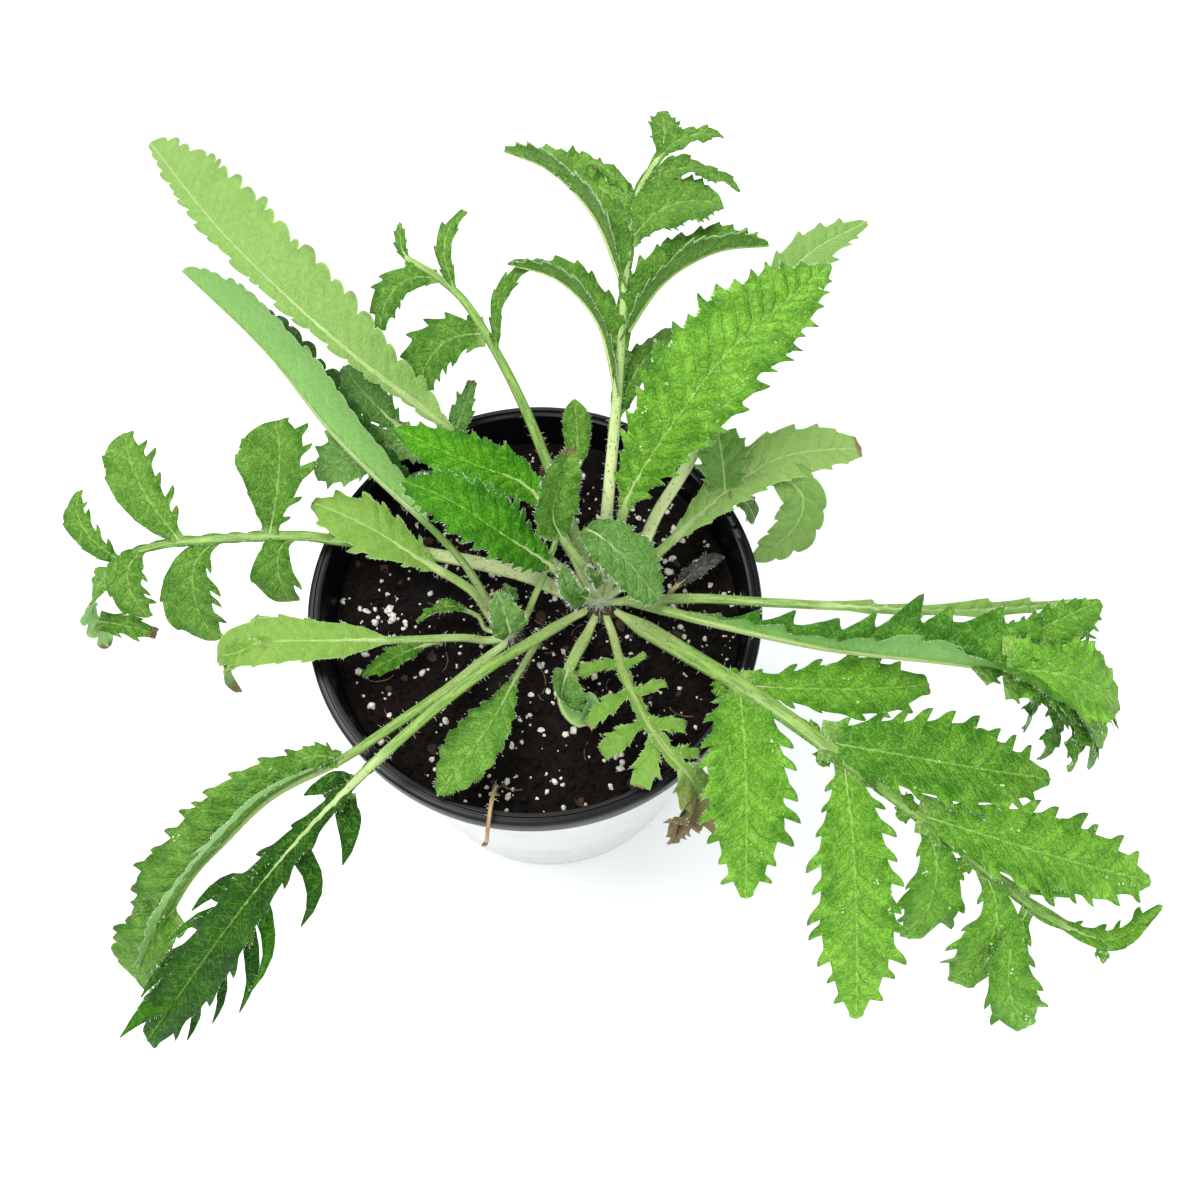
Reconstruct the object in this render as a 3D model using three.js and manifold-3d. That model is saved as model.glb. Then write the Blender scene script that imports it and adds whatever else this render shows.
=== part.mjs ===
// A young oriental poppy in a nursery pot: a black grower's pot in a white outer pot, peat soil,
// two leafy crowns and the leaves that spring from them.
// Millimetres, +Z up. The origin is on the pot's axis, at the level of the surface it stands on.
// +X is the right of the plant, +Y its back.
import * as THREE from "three";
import { mergeVertices } from "three/addons/utils/BufferGeometryUtils.js";
import Module from "manifold-3d";

const wasm = await Module();
wasm.setup();

// Pot sizes
const POT_HEIGHT = 165;
const RIM_RADIUS = 82.5;
const RIM_BAND = 8;
const MOUTH_RADIUS = 77.5;
const FLOOR_RADIUS = 63;
const LINER_WALL = 1.5;
const OUTER_POT_WALL = 1.5;
const OUTER_POT_FLOOR = 3;
const LINER_FLOOR = 2;
const SEAT_GAP = 0.3;
const POT_SIDES = 36;
const DRAIN_HOLES = 4;
const DRAIN_RADIUS = 4;
const DRAIN_RING = 46;

// Soil sizes
const SOIL_LEVEL = 148;
const SOIL_RINGS = 9;
const CRUMB_HEIGHT = 1.3;
const HOLE_DEPTH = 11;
const HOLE_SIDES = 16;

// Crown sizes: each crown is a short stem whose domed top carries the leaves
const CROWNS = {
  main: { centre: [24, 5, 150], radius: 9 },
  side: { centre: [-9, -9, 150], radius: 6 },
};
const CROWN_ROOT = 9;

// Leaf sizes
const BLADE_THICKNESS = 0.8;
const MIDRIB_THICKNESS = 1.8;
const BASE_WIDTH = 3.2;
const FLARE_LENGTH = 12;
const TIP_HALF_WIDTH = 0.4;
const STEM_STEP = 13;

// Finishes of the leaves, seen as a whole
const LEAF_COLOURS = {
  bright: 0x5fae2e,
  middle: 0x58983c,
  pale: 0x8fc45c,
  yellow: 0x86b84a,
  grey: 0x6f9f68,
  dark: 0x3f7d2c,
  dry: 0xa08a63,
};

// A seeded generator of even random numbers from 0 to 1.
function randomFrom(seed) {
  let state = seed;
  return () => {
    state = (state * 16807) % 2147483647;
    return state / 2147483647;
  };
}

// A closed geometry as a solid that can be cut and joined.
function solidOf(geometry) {
  const bare = geometry.clone();
  bare.deleteAttribute("normal");
  bare.deleteAttribute("uv");
  const merged = mergeVertices(bare, 1e-4);
  return new wasm.Manifold(
    new wasm.Mesh({
      numProp: 3,
      vertProperties: merged.attributes.position.array,
      triVerts: new Uint32Array(merged.index.array),
    }),
  );
}

// A solid back as a geometry.
function geometryOf(solid) {
  const mesh = solid.getMesh();
  const geometry = new THREE.BufferGeometry();
  geometry.setAttribute("position", new THREE.BufferAttribute(mesh.vertProperties, 3));
  geometry.setIndex(new THREE.BufferAttribute(mesh.triVerts, 1));
  geometry.computeVertexNormals();
  return geometry;
}

// A body of revolution about +Z from a closed outline of [radius, height] points.
function turned(outline, sides) {
  const points = [...outline, outline[0]].map(([r, z]) => new THREE.Vector2(r, z));
  return new THREE.LatheGeometry(points, sides).rotateX(Math.PI / 2);
}

// An upright peg about +Z, standing from low to high.
function peg(x, y, low, high, radius, sides = HOLE_SIDES) {
  const outline = [[0, low], [radius, low], [radius, high], [0, high]];
  return turned(outline, sides).translate(x, y, 0);
}

function namedMesh(name, geometry, color, roughness, metalness = 0) {
  const material = new THREE.MeshStandardMaterial({ color, roughness, metalness });
  const mesh = new THREE.Mesh(geometry, material);
  mesh.name = name;
  return mesh;
}

// The inside radius of the grower's pot at a height.
function innerRadius(z) {
  const low = OUTER_POT_FLOOR + SEAT_GAP + LINER_FLOOR;
  return FLOOR_RADIUS + ((MOUTH_RADIUS - FLOOR_RADIUS) * (z - low)) / (POT_HEIGHT - low);
}

// The black grower's pot: tapered wall, drained floor and a hollow rim with a groove in its top.
function growersPot() {
  const bottom = OUTER_POT_FLOOR + SEAT_GAP;
  const floor = bottom + LINER_FLOOR;
  const ledge = POT_HEIGHT - 1.5;
  const skirt = POT_HEIGHT - RIM_BAND;
  const outline = [
    [0, bottom],
    [innerRadius(bottom) + LINER_WALL, bottom],
    [innerRadius(ledge) + LINER_WALL, ledge],
    [RIM_RADIUS - 1.5, ledge],
    [RIM_RADIUS - 1.5, skirt],
    [RIM_RADIUS, skirt],
    [RIM_RADIUS, POT_HEIGHT - 1],
    [RIM_RADIUS - 1, POT_HEIGHT],
    [RIM_RADIUS - 2.4, POT_HEIGHT],
    [RIM_RADIUS - 2.8, POT_HEIGHT - 0.7],
    [RIM_RADIUS - 3.4, POT_HEIGHT],
    [MOUTH_RADIUS + 0.6, POT_HEIGHT],
    [MOUTH_RADIUS, POT_HEIGHT - 1.2],
    [FLOOR_RADIUS, floor],
    [0, floor],
  ];
  let pot = solidOf(turned(outline, POT_SIDES));
  for (let i = 0; i < DRAIN_HOLES; i++) {
    const turn = (i + 0.5) * ((2 * Math.PI) / DRAIN_HOLES);
    const drain = peg(
      DRAIN_RING * Math.cos(turn),
      DRAIN_RING * Math.sin(turn),
      bottom - 1,
      floor + 1,
      DRAIN_RADIUS,
      8,
    );
    pot = pot.subtract(solidOf(drain));
  }
  // Two slots side by side in the rim take a plant tag.
  for (const [bearing, radius] of [[24, 79.6], [20, 79.6]]) {
    const slot = new THREE.BoxGeometry(1.8, 4.4, 12);
    slot.translate(radius, 0, POT_HEIGHT);
    slot.rotateZ(THREE.MathUtils.degToRad(bearing));
    pot = pot.subtract(solidOf(slot));
  }
  return geometryOf(pot);
}

// The white outer pot that the grower's pot stands in, up to just under its rim.
function outerPot() {
  const reach = LINER_WALL + SEAT_GAP;
  const top = POT_HEIGHT - RIM_BAND - 0.5;
  const floor = OUTER_POT_FLOOR;
  const outline = [
    [0, 0],
    [innerRadius(0) + reach + OUTER_POT_WALL - 1, 0],
    [innerRadius(1) + reach + OUTER_POT_WALL, 1],
    [innerRadius(top) + reach + OUTER_POT_WALL, top],
    [innerRadius(top) + reach, top],
    [innerRadius(floor) + reach, floor],
    [0, floor],
  ];
  return turned(outline, POT_SIDES);
}

// Peat soil that fills the grower's pot, its top crumbled at random, with plain holes for what stands
// in it.
function soil(holes) {
  const random = randomFrom(41);
  const floor = OUTER_POT_FLOOR + SEAT_GAP + LINER_FLOOR + SEAT_GAP;
  const positions = [0, 0, SOIL_LEVEL, 0, 0, floor];
  const index = [];
  const ring = (k) => 2 + k * POT_SIDES;
  const turnOf = (i) => (i * 2 * Math.PI) / POT_SIDES;
  for (let k = 0; k < SOIL_RINGS; k++) {
    const radius = ((innerRadius(SOIL_LEVEL) - SEAT_GAP) * (k + 1)) / SOIL_RINGS;
    for (let i = 0; i < POT_SIDES; i++) {
      const x = radius * Math.sin(turnOf(i));
      const y = -radius * Math.cos(turnOf(i));
      const lift = k === SOIL_RINGS - 1 ? -0.5 : CRUMB_HEIGHT * (2 * random() - 1);
      positions.push(x, y, SOIL_LEVEL + lift * crumbShare(x, y));
    }
  }
  for (let i = 0; i < POT_SIDES; i++) {
    const radius = innerRadius(floor) - SEAT_GAP;
    positions.push(radius * Math.sin(turnOf(i)), -radius * Math.cos(turnOf(i)), floor);
  }
  for (let i = 0; i < POT_SIDES; i++) {
    const j = (i + 1) % POT_SIDES;
    index.push(0, ring(0) + i, ring(0) + j);
    for (let k = 0; k < SOIL_RINGS; k++) {
      const [a, b, c, d] = [ring(k) + i, ring(k) + j, ring(k + 1) + j, ring(k + 1) + i];
      index.push(a, d, c, a, c, b);
    }
    index.push(1, ring(SOIL_RINGS) + j, ring(SOIL_RINGS) + i);
  }
  const geometry = new THREE.BufferGeometry();
  geometry.setAttribute("position", new THREE.Float32BufferAttribute(positions, 3));
  geometry.setIndex(index);
  let body = solidOf(geometry);
  for (const hole of holes) body = body.subtract(solidOf(hole));
  return geometryOf(body);
}

// The soil lies flat close round each crown and crumbles further out.
function crumbShare(x, y) {
  let share = 1;
  for (const { centre, radius } of Object.values(CROWNS)) {
    const away = Math.hypot(x - centre[0], y - centre[1]) - radius;
    share = Math.min(share, THREE.MathUtils.clamp(away / 12, 0, 1));
  }
  return share;
}

// A crown: a domed stem top on a short root.
function crownBody({ centre, radius }) {
  const [x, y, z] = centre;
  const outline = [[0, z - CROWN_ROOT], [radius - 0.4, z - CROWN_ROOT], [radius - 0.4, z]];
  for (let i = 1; i < 5; i++) {
    const rise = (i * Math.PI) / 10;
    outline.push([radius * Math.cos(rise), z + radius * Math.sin(rise)]);
  }
  outline.push([0, z + radius]);
  return turned(outline, HOLE_SIDES).translate(x, y, 0);
}

function crownHole({ centre, radius }) {
  const [x, y, z] = centre;
  return peg(x, y, z - CROWN_ROOT - SEAT_GAP, z + radius, radius + 0.1);
}

// The place where a leaf leaves its crown, and the way it heads there.
function seatOn({ centre, radius }, bearing, slope) {
  const turn = THREE.MathUtils.degToRad(bearing);
  const rise = THREE.MathUtils.degToRad(slope);
  const heading = new THREE.Vector3(
    Math.cos(rise) * Math.cos(turn),
    Math.cos(rise) * Math.sin(turn),
    Math.sin(rise),
  );
  const at = (away) => new THREE.Vector3(...centre).addScaledVector(heading, away);
  return [at(radius + SEAT_GAP + 0.1), at(radius + 5)];
}

// The share of a blade's half width at a place along it: nothing at both ends, full at the widest place.
function outlineShare(place, widest, fullness) {
  const skew = Math.log(0.5) / Math.log(widest);
  return Math.max(Math.sin(Math.PI * place ** skew), 0) ** fullness;
}

// A leaf or leaflet as one thin closed body along a curve. Its sections are six-sided: two edges and a
// midrib, each with an upper and an under point, so both faces are split into triangles alike.
function bladeBody(curve, stations) {
  const start = curve.getPoint(0);
  const reach = curve.getPoint(1).sub(start);
  const level = new THREE.Vector3(reach.y, -reach.x, 0).normalize();
  const positions = [];
  const index = [];
  stations.forEach((station) => {
    const centre = curve.getPointAt(station.at);
    const along = curve.getTangentAt(station.at);
    const flat = level.clone().addScaledVector(along, -level.dot(along)).normalize();
    const up = new THREE.Vector3().crossVectors(flat, along);
    const turn = THREE.MathUtils.degToRad(station.roll);
    const side = flat.clone().multiplyScalar(Math.cos(turn)).addScaledVector(up, Math.sin(turn));
    const face = up.clone().multiplyScalar(Math.cos(turn)).addScaledVector(flat, -Math.sin(turn));
    const lift = THREE.MathUtils.degToRad(station.fold);
    const edge = (sign, width, over) =>
      centre
        .clone()
        .addScaledVector(side, sign * (width * Math.cos(lift) - over * Math.sin(lift)))
        .addScaledVector(face, width * Math.sin(lift) + over * Math.cos(lift) + station.wave * sign)
        .addScaledVector(along, station.hook);
    const [half, rib] = [station.edge / 2, station.rib / 2];
    positions.push(
      ...edge(-1, station.left, half),
      ...centre.clone().addScaledVector(face, rib),
      ...edge(1, station.right, half),
      ...edge(1, station.right, -half),
      ...centre.clone().addScaledVector(face, -rib),
      ...edge(-1, station.left, -half),
    );
  });
  for (let i = 0; i + 1 < stations.length; i++) {
    const [a0, a1, a2, a3, a4, a5] = [0, 1, 2, 3, 4, 5].map((n) => 6 * i + n);
    const [b0, b1, b2, b3, b4, b5] = [0, 1, 2, 3, 4, 5].map((n) => 6 * i + 6 + n);
    index.push(a0, a1, b1, a0, b1, b0, a1, a2, b1, a2, b2, b1);
    index.push(a5, b4, a4, a5, b5, b4, a4, b4, a3, a3, b4, b3);
    index.push(a2, a3, b3, a2, b3, b2, a5, a0, b0, a5, b0, b5);
  }
  const last = 6 * (stations.length - 1);
  index.push(0, 4, 1, 0, 5, 4, 1, 3, 2, 1, 4, 3);
  index.push(last, last + 1, last + 4, last, last + 4, last + 5);
  index.push(last + 1, last + 2, last + 3, last + 1, last + 3, last + 4);
  const geometry = new THREE.BufferGeometry();
  geometry.setAttribute("position", new THREE.Float32BufferAttribute(positions, 3));
  geometry.setIndex(index);
  return solidOf(geometry);
}

// The sections of a bare stalk up to the share of the curve where the blade starts.
function stalkStations(length, stalk, bladeFrom, roll) {
  const count = Math.max(2, Math.round((length * bladeFrom) / STEM_STEP));
  const stations = [];
  for (let i = 0; i < count; i++) {
    const at = (bladeFrom * i) / count;
    const flare = Math.min(1, (at * length) / FLARE_LENGTH);
    const full = THREE.MathUtils.lerp(stalk[0], stalk[1], i / count);
    const half = THREE.MathUtils.lerp(Math.min(full, stalk[2] ?? BASE_WIDTH), full, flare) / 2;
    stations.push({
      at,
      left: half,
      right: half,
      edge: half,
      rib: Math.min(2 * half, 0.8 * half + 1.4),
      fold: 0,
      roll: roll * flare,
      wave: 0,
      hook: 0,
    });
  }
  return stations;
}

// The sections of a toothed blade: a notch and a tip for each tooth.
function bladeStations(length, blade, bladeFrom, rootHalf) {
  const { width, widest = 0.45, teeth, fullness = 0.75, wave = 0.8, sides = [1, 1] } = blade;
  const [cutLeft, cutRight] = Array.isArray(blade.cut) ? blade.cut : [blade.cut, blade.cut];
  const [foldLow, foldHigh] = Array.isArray(blade.fold) ? blade.fold : [blade.fold, blade.fold];
  const [rollLow, rollHigh] = Array.isArray(blade.roll) ? blade.roll : [blade.roll ?? 0, blade.roll ?? 0];
  const span = (1 - bladeFrom) * length;
  const stations = [];
  const section = (place, isTip, tooth) => {
    const share = outlineShare(place, widest, fullness);
    const rib = THREE.MathUtils.lerp(rootHalf, TIP_HALF_WIDTH, place);
    const half = (cut, side) => Math.max(rib, (width / 2) * side * share * (isTip ? 1 : 1 - cut));
    stations.push({
      at: bladeFrom + (1 - bladeFrom) * place,
      left: half(cutLeft, sides[0]),
      right: half(cutRight, sides[1]),
      edge: BLADE_THICKNESS,
      rib: THREE.MathUtils.lerp(MIDRIB_THICKNESS, BLADE_THICKNESS + 0.2, place),
      fold: THREE.MathUtils.lerp(foldLow, foldHigh, place),
      roll: THREE.MathUtils.lerp(rollLow, rollHigh, place),
      wave: share * wave * (tooth % 2 ? 1 : -1) * (isTip ? 1 : 0),
      hook: isTip ? (0.15 * span) / teeth : 0,
    });
  };
  for (let tooth = 0; tooth < teeth; tooth++) {
    section(tooth / teeth, false, tooth);
    if (tooth < teeth - 1) section((tooth + 0.7) / teeth, true, tooth);
  }
  section((teeth - 0.45) / teeth, false, teeth);
  section(1, false, teeth);
  return stations;
}

function smoothCurve(points) {
  const vectors = points.map((point) => (point.isVector3 ? point : new THREE.Vector3(...point)));
  return new THREE.CatmullRomCurve3(vectors, false, "catmullrom", 0.5);
}

// A leaflet grows from a place on the main rib, arches up and bows to its side on the way to its tip.
function leafletBody(mainCurve, leaflet) {
  const root = mainCurve.getPointAt(leaflet.at);
  const reach = new THREE.Vector3(...leaflet.tip).sub(root);
  const aside = new THREE.Vector3(reach.y, -reach.x, 0).normalize();
  const length = reach.length();
  const through = (share, arch, bow) =>
    root
      .clone()
      .addScaledVector(reach, share)
      .addScaledVector(aside, bow)
      .add(new THREE.Vector3(0, 0, arch));
  const { arch = 0.1 * length, bow = 0 } = leaflet;
  const curve = smoothCurve([
    root,
    through(0.35, arch, 0.85 * bow),
    through(0.7, 0.85 * arch, 0.8 * bow),
    through(1, 0, 0),
  ]);
  return bladeBody(curve, bladeStations(curve.getLength(), { widest: 0.5, ...leaflet }, 0, 1));
}

// A whole leaf: its stalk and blade in one body, with any leaflets joined on.
function leafBody(leaf) {
  const start = leaf.crown
    ? seatOn(CROWNS[leaf.crown], leaf.bearing, leaf.slope)
    : rootedIn(leaf.foot);
  const curve = smoothCurve([...start, ...leaf.through]);
  const length = curve.getLength();
  const { blade, stalk } = leaf;
  const firstRoll = Array.isArray(blade.roll) ? blade.roll[0] : (blade.roll ?? 0);
  const stations = [
    ...stalkStations(length, stalk, blade.from, firstRoll),
    ...bladeStations(length, blade, blade.from, stalk[1] / 2),
  ];
  let body = bladeBody(curve, stations);
  for (const leaflet of leaf.leaflets ?? []) body = body.add(leafletBody(curve, leaflet));
  return body;
}

// A stalk that stands in the soil starts upright at the bottom of its hole.
function rootedIn([x, y]) {
  return [new THREE.Vector3(x, y, SOIL_LEVEL - HOLE_DEPTH + 3), new THREE.Vector3(x, y, SOIL_LEVEL + 3)];
}

function footHole([x, y], radius) {
  return peg(x, y, SOIL_LEVEL - HOLE_DEPTH, SOIL_LEVEL + 6, radius, 8);
}

// One row for a leaflet: its place on the main rib, its tip, its width and how many teeth each edge has.
function leaflet(at, tip, width, teeth, more = {}) {
  return { at, tip, width, teeth, cut: 0.28, fold: 14, ...more };
}

// The leaves. Each one states what it grows from: a crown, with the bearing and slope at which it leaves
// it, or the foot where it stands in the soil. Then come the points that its midrib passes, the widths of
// its stalk near the foot and where the blade starts, and its blade, from a share of its length on. A third
// width is that of the stalk's very end. Sides are the shares of the half width to the left and right of
// the midrib, looking along the leaf from its foot. Bearings count from +X towards +Y.
const LEAVES = {
  leaf_tall_back: {
    colour: "middle", crown: "main", bearing: 88, slope: 38, stalk: [6.4, 3.2],
    through: [[27, 37, 188], [30, 66, 208], [33, 106, 222], [36, 129, 227], [46, 151, 228], [47, 174, 224]],
    blade: { from: 0.86, width: 8, teeth: 3, cut: 0.35, fold: 15 },
    leaflets: [
      leaflet(0.4, [-10, 111, 214], 14, 5, { bow: 11, fold: 25 }),
      leaflet(0.36, [54, 93, 200], 12, 4, { bow: -3 }),
      leaflet(0.52, [85, 119, 214], 20, 5, { bow: -8 }),
      leaflet(0.62, [-12, 156, 222], 19, 5, { bow: 7 }),
      leaflet(0.72, [69, 128, 222], 17, 4, { bow: -5, cut: 0.4 }),
      leaflet(0.75, [20, 141, 233], 7, 2),
      leaflet(0.8, [75, 140, 219], 9, 3, { bow: -6 }),
      leaflet(0.86, [69, 159, 226], 8, 3, { bow: -3 }),
    ],
  },
  leaf_back_left: {
    colour: "middle", crown: "main", bearing: 110, slope: 5, stalk: [5, 2.8],
    through: [[4, 52, 172], [-6, 72, 186], [-17, 90, 197], [-27, 104, 203], [-38, 113, 206],
      [-49, 121, 207], [-52, 137, 206]],
    blade: { from: 0.88, width: 6, teeth: 3, cut: 0.3, fold: 15 },
    leaflets: [
      leaflet(0.58, [4, 114, 212], 8, 4, { bow: -8, fold: 25 }),
      leaflet(0.65, [-48, 82, 193], 19, 4, { bow: 4 }),
      leaflet(0.8, [-58, 95, 196], 13, 4, { bow: 6 }),
      leaflet(0.75, [-26, 137, 212], 8, 3, { bow: -6 }),
    ],
  },
  leaf_long_upper: {
    colour: "pale", crown: "main", bearing: 125, slope: 38, stalk: [4.6, 3.4],
    through: [[-4, 43, 170], [-40, 67, 184], [-72, 86, 202], [-114, 125, 212], [-156, 184, 198]],
    blade: {
      from: 0.3, width: 39, sides: [0.25, 1], widest: 0.55, teeth: 14, cut: [0.12, 0.25],
      fold: 10, roll: [0, 6],
    },
  },
  leaf_long_folded: {
    colour: "grey", crown: "side", bearing: 127, slope: 40, stalk: [4.2, 3.2],
    through: [[-18, 2, 163], [-27, 13, 173], [-40, 25, 180], [-57, 40, 184], [-76, 59, 188],
      [-102, 91, 190], [-141, 133, 183]],
    blade: {
      from: 0.24, width: 35, widest: 0.5, teeth: 12, cut: [0.1, 0.14],
      fold: 68, roll: [-60, -74], wave: 0.3,
    },
  },
  leaf_pale_short: {
    colour: "yellow", crown: "side", bearing: 138, slope: 5, stalk: [4, 3.4],
    through: [[-24, 6, 160], [-44, 16, 168], [-58, 24, 172], [-72, 31, 173], [-83, 36, 172]],
    blade: { from: 0.38, width: 23, widest: 0.6, teeth: 4, cut: 0.14, fold: 6, fullness: 0.6 },
  },
  leaf_left_pinnate: {
    colour: "middle", crown: "main", bearing: 166, slope: 5, stalk: [6.6, 2.6],
    through: [[-3, 13, 157], [-26, 18, 160], [-51, 21, 164], [-72, 22, 169], [-89, 22, 173],
      [-121, 19, 175], [-140, 17, 173], [-153, 13, 167], [-163, 3, 158], [-166, -10, 148]],
    blade: { from: 0.86, width: 9, teeth: 3, cut: 0.35, fold: 12 },
    leaflets: [
      leaflet(0.55, [-97, 65, 182], 27, 5, { cut: [0.12, 0.36], widest: 0.6 }),
      leaflet(0.7, [-153, 61, 180], 19, 5, { cut: [0.12, 0.42], bow: -2, widest: 0.55 }),
      leaflet(0.82, [-170, 41, 172], 10, 4, { cut: [0.2, 0.45], bow: -5 }),
      leaflet(0.64, [-119, -10, 150], 21, 4, { cut: [0.36, 0.1], bow: 7, arch: 6, widest: 0.6 }),
      leaflet(0.51, [-92, 4, 154], 18, 3, { cut: [0.4, 0.1], bow: 4, arch: 5, widest: 0.6 }),
      leaflet(0.79, [-156, 1, 152], 10, 3, { bow: 4, arch: 4 }),
      leaflet(0.93, [-147, -5, 143], 10, 3, { bow: -5, arch: 2 }),
    ],
  },
  leaf_left_spoon: {
    colour: "yellow", crown: "side", bearing: 190, slope: 12, stalk: [3.2, 3],
    through: [[-27, -12, 158], [-48, -16, 166], [-71, -19, 173], [-96, -20, 172], [-117, -20, 163],
      [-122, -25, 152]],
    blade: { from: 0.38, width: 18, widest: 0.6, teeth: 6, cut: 0.16, fold: 10 },
  },
  leaf_small_low: {
    colour: "bright", foot: [-36, -11], stalk: [2.2, 1.8],
    through: [[-42, -14, 154], [-49, -18, 156], [-63, -25, 153]],
    blade: { from: 0.42, width: 10, teeth: 3, cut: 0.25, fold: 15 },
  },
  leaf_small_side: {
    colour: "middle", crown: "side", bearing: 163, slope: 8, stalk: [2.2, 1.8, 1.8],
    through: [[-22, -2, 155], [-32, -1, 160], [-44, -5, 156]],
    blade: { from: 0.42, width: 9, teeth: 4, cut: 0.25, fold: 35, roll: -20 },
  },
  leaf_side_heart: {
    colour: "grey", crown: "side", bearing: 100, slope: 82, stalk: [3.2, 4],
    through: [[-9, -12, 164], [-10, -9, 172], [-13, -2, 178]],
    blade: { from: 0.3, width: 14, widest: 0.35, teeth: 4, cut: 0.12, fold: 20 },
  },
  leaf_front_left: {
    colour: "bright", foot: [0, -12], stalk: [3, 2.6],
    through: [[-3, -19, 155], [-7, -29, 160], [-15, -48, 166], [-31, -73, 169]],
    blade: { from: 0.3, width: 20, widest: 0.62, teeth: 7, cut: 0.18, fold: 12, roll: [0, 8] },
  },
  leaf_low_left_wet: {
    colour: "middle", crown: "side", bearing: 222, slope: 5, stalk: [4.6, 3.4],
    through: [[-31, -33, 161], [-48, -49, 169], [-63, -61, 172], [-85, -73, 171], [-101, -87, 165],
      [-118, -101, 150], [-138, -127, 122]],
    blade: {
      from: 0.4, width: 34, sides: [0.35, 1], widest: 0.5, teeth: 10, cut: 0.16, fold: 20, roll: -8,
    },
  },
  leaf_low_left_cut: {
    colour: "dark", crown: "main", bearing: 210, slope: 5, stalk: [4.6, 3.6],
    through: [[-2, -16, 163], [-18, -32, 175], [-41, -57, 185], [-69, -87, 184], [-94, -112, 167],
      [-132, -148, 126]],
    blade: { from: 0.37, width: 31, sides: [1, 0.8], widest: 0.5, teeth: 9, cut: 0.6, fold: 14 },
  },
  leaf_curled: {
    colour: "grey", crown: "main", bearing: 248, slope: 5, stalk: [5.4, 4],
    through: [[14, -21, 160], [11, -34, 164], [9, -42, 165], [13, -48, 164], [20, -48, 163], [23, -42, 162],
      [19, -38, 162]],
    blade: {
      from: 0.45, width: 9, widest: 0.4, teeth: 5, cut: 0.1, fold: 0, roll: [80, 90], wave: 0.2,
    },
  },
  leaf_front_small: {
    colour: "yellow", crown: "main", bearing: 288, slope: 5, stalk: [4.4, 3.4],
    through: [[34, -36, 160], [43, -52, 165], [52, -65, 172], [57, -75, 169], [55, -83, 157],
      [50, -84, 143]],
    blade: { from: 0.78, width: 7, teeth: 3, cut: 0.3, fold: 20 },
    leaflets: [
      leaflet(0.2, [16, -27, 155], 7, 3, { arch: 1 }),
      leaflet(0.2, [39, -22, 161], 4, 2, { arch: 1 }),
      leaflet(0.32, [26, -45, 158], 8, 3, { arch: 1 }),
      leaflet(0.32, [47, -33, 163], 5, 2, { arch: 1 }),
      leaflet(0.42, [28, -56, 161], 9, 3, { arch: 1 }),
      leaflet(0.44, [54, -48, 166], 7, 3, { arch: 1 }),
      leaflet(0.54, [40, -72, 170], 10, 3, { arch: 2 }),
      leaflet(0.58, [59, -61, 173], 5, 2, { arch: 1 }),
    ],
  },
  leaf_low_right: {
    colour: "bright", crown: "main", bearing: -34, slope: 5, stalk: [9, 3.4],
    through: [[59, -25, 168], [78, -42, 178], [105, -66, 184], [130, -85, 180], [153, -101, 170],
      [172, -111, 158], [195, -117, 149], [214, -106, 150]],
    blade: { from: 0.82, width: 12, teeth: 5, cut: 0.4, fold: 15 },
    leaflets: [
      leaflet(0.25, [136, -36, 176], 20, 5, { arch: 3 }),
      leaflet(0.25, [72, -105, 158], 32, 6, { arch: 9 }),
      leaflet(0.39, [174, -68, 172], 28, 6, { arch: 7 }),
      leaflet(0.43, [108, -142, 146], 31, 6, { arch: 8 }),
      leaflet(0.55, [206, -100, 162], 27, 6, { arch: 6 }),
      leaflet(0.56, [129, -116, 142], 22, 4, { arch: 4 }),
      leaflet(0.67, [145, -130, 136], 23, 4, { arch: 5 }),
      leaflet(0.78, [171, -143, 130], 20, 4, { arch: 5 }),
    ],
  },
  leaf_right_folded: {
    colour: "bright", crown: "main", bearing: -14, slope: 38, stalk: [6, 4.4],
    through: [[50, -8, 172], [78, -21, 185], [103, -29, 191], [141, -36, 196], [167, -41, 194],
      [188, -53, 174], [194, -60, 156]],
    blade: { from: 0.16, width: 42, widest: 0.6, teeth: 11, cut: 0.3, fold: [60, 30], roll: [33, 15] },
    leaflets: [
      leaflet(0.7, [195, -9, 190], 20, 4, { arch: 3, bow: 4, cut: 0.35 }),
      leaflet(0.74, [199, -34, 176], 18, 4, { arch: 6, cut: 0.35 }),
      leaflet(0.72, [175, -62, 158], 14, 4, { arch: 6, bow: -6, cut: 0.35 }),
    ],
  },
  leaf_right_back: {
    colour: "pale", crown: "main", bearing: 2, slope: 5, stalk: [4.4, 3.4],
    through: [[60, 1, 164], [87, -5, 174], [146, -12, 184], [196, -5, 176]],
    blade: { from: 0.42, width: 15, widest: 0.5, teeth: 7, cut: 0.3, fold: 10 },
  },
  leaf_back_right: {
    colour: "pale", crown: "main", bearing: 42, slope: 5, stalk: [4.6, 3.8],
    through: [[48, 23, 162], [60, 31, 172], [74, 40, 181], [92, 48, 186], [121, 57, 176]],
    blade: {
      from: 0.32, width: 24, sides: [0.8, 1], widest: 0.6, teeth: 6, cut: 0.2,
      fold: 8, roll: [-30, -20],
    },
    leaflets: [
      leaflet(0.4, [74, 62, 182], 16, 4, { arch: 3 }),
      leaflet(0.45, [86, 30, 160], 12, 3, { arch: 3 }),
      leaflet(0.7, [82, 22, 152], 17, 4, { arch: 6, bow: -13 }),
    ],
  },
  leaf_behind_quilted: {
    colour: "pale", crown: "main", bearing: 30, slope: 30, stalk: [5, 4],
    through: [[44, 32, 168], [57, 51, 178], [76, 88, 188], [100, 129, 192], [130, 155, 186]],
    blade: { from: 0.62, width: 22, widest: 0.5, teeth: 5, cut: 0.28, fold: 12 },
  },
  leaf_quilted: {
    colour: "bright", crown: "main", bearing: 55, slope: 52, stalk: [4.6, 4],
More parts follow.
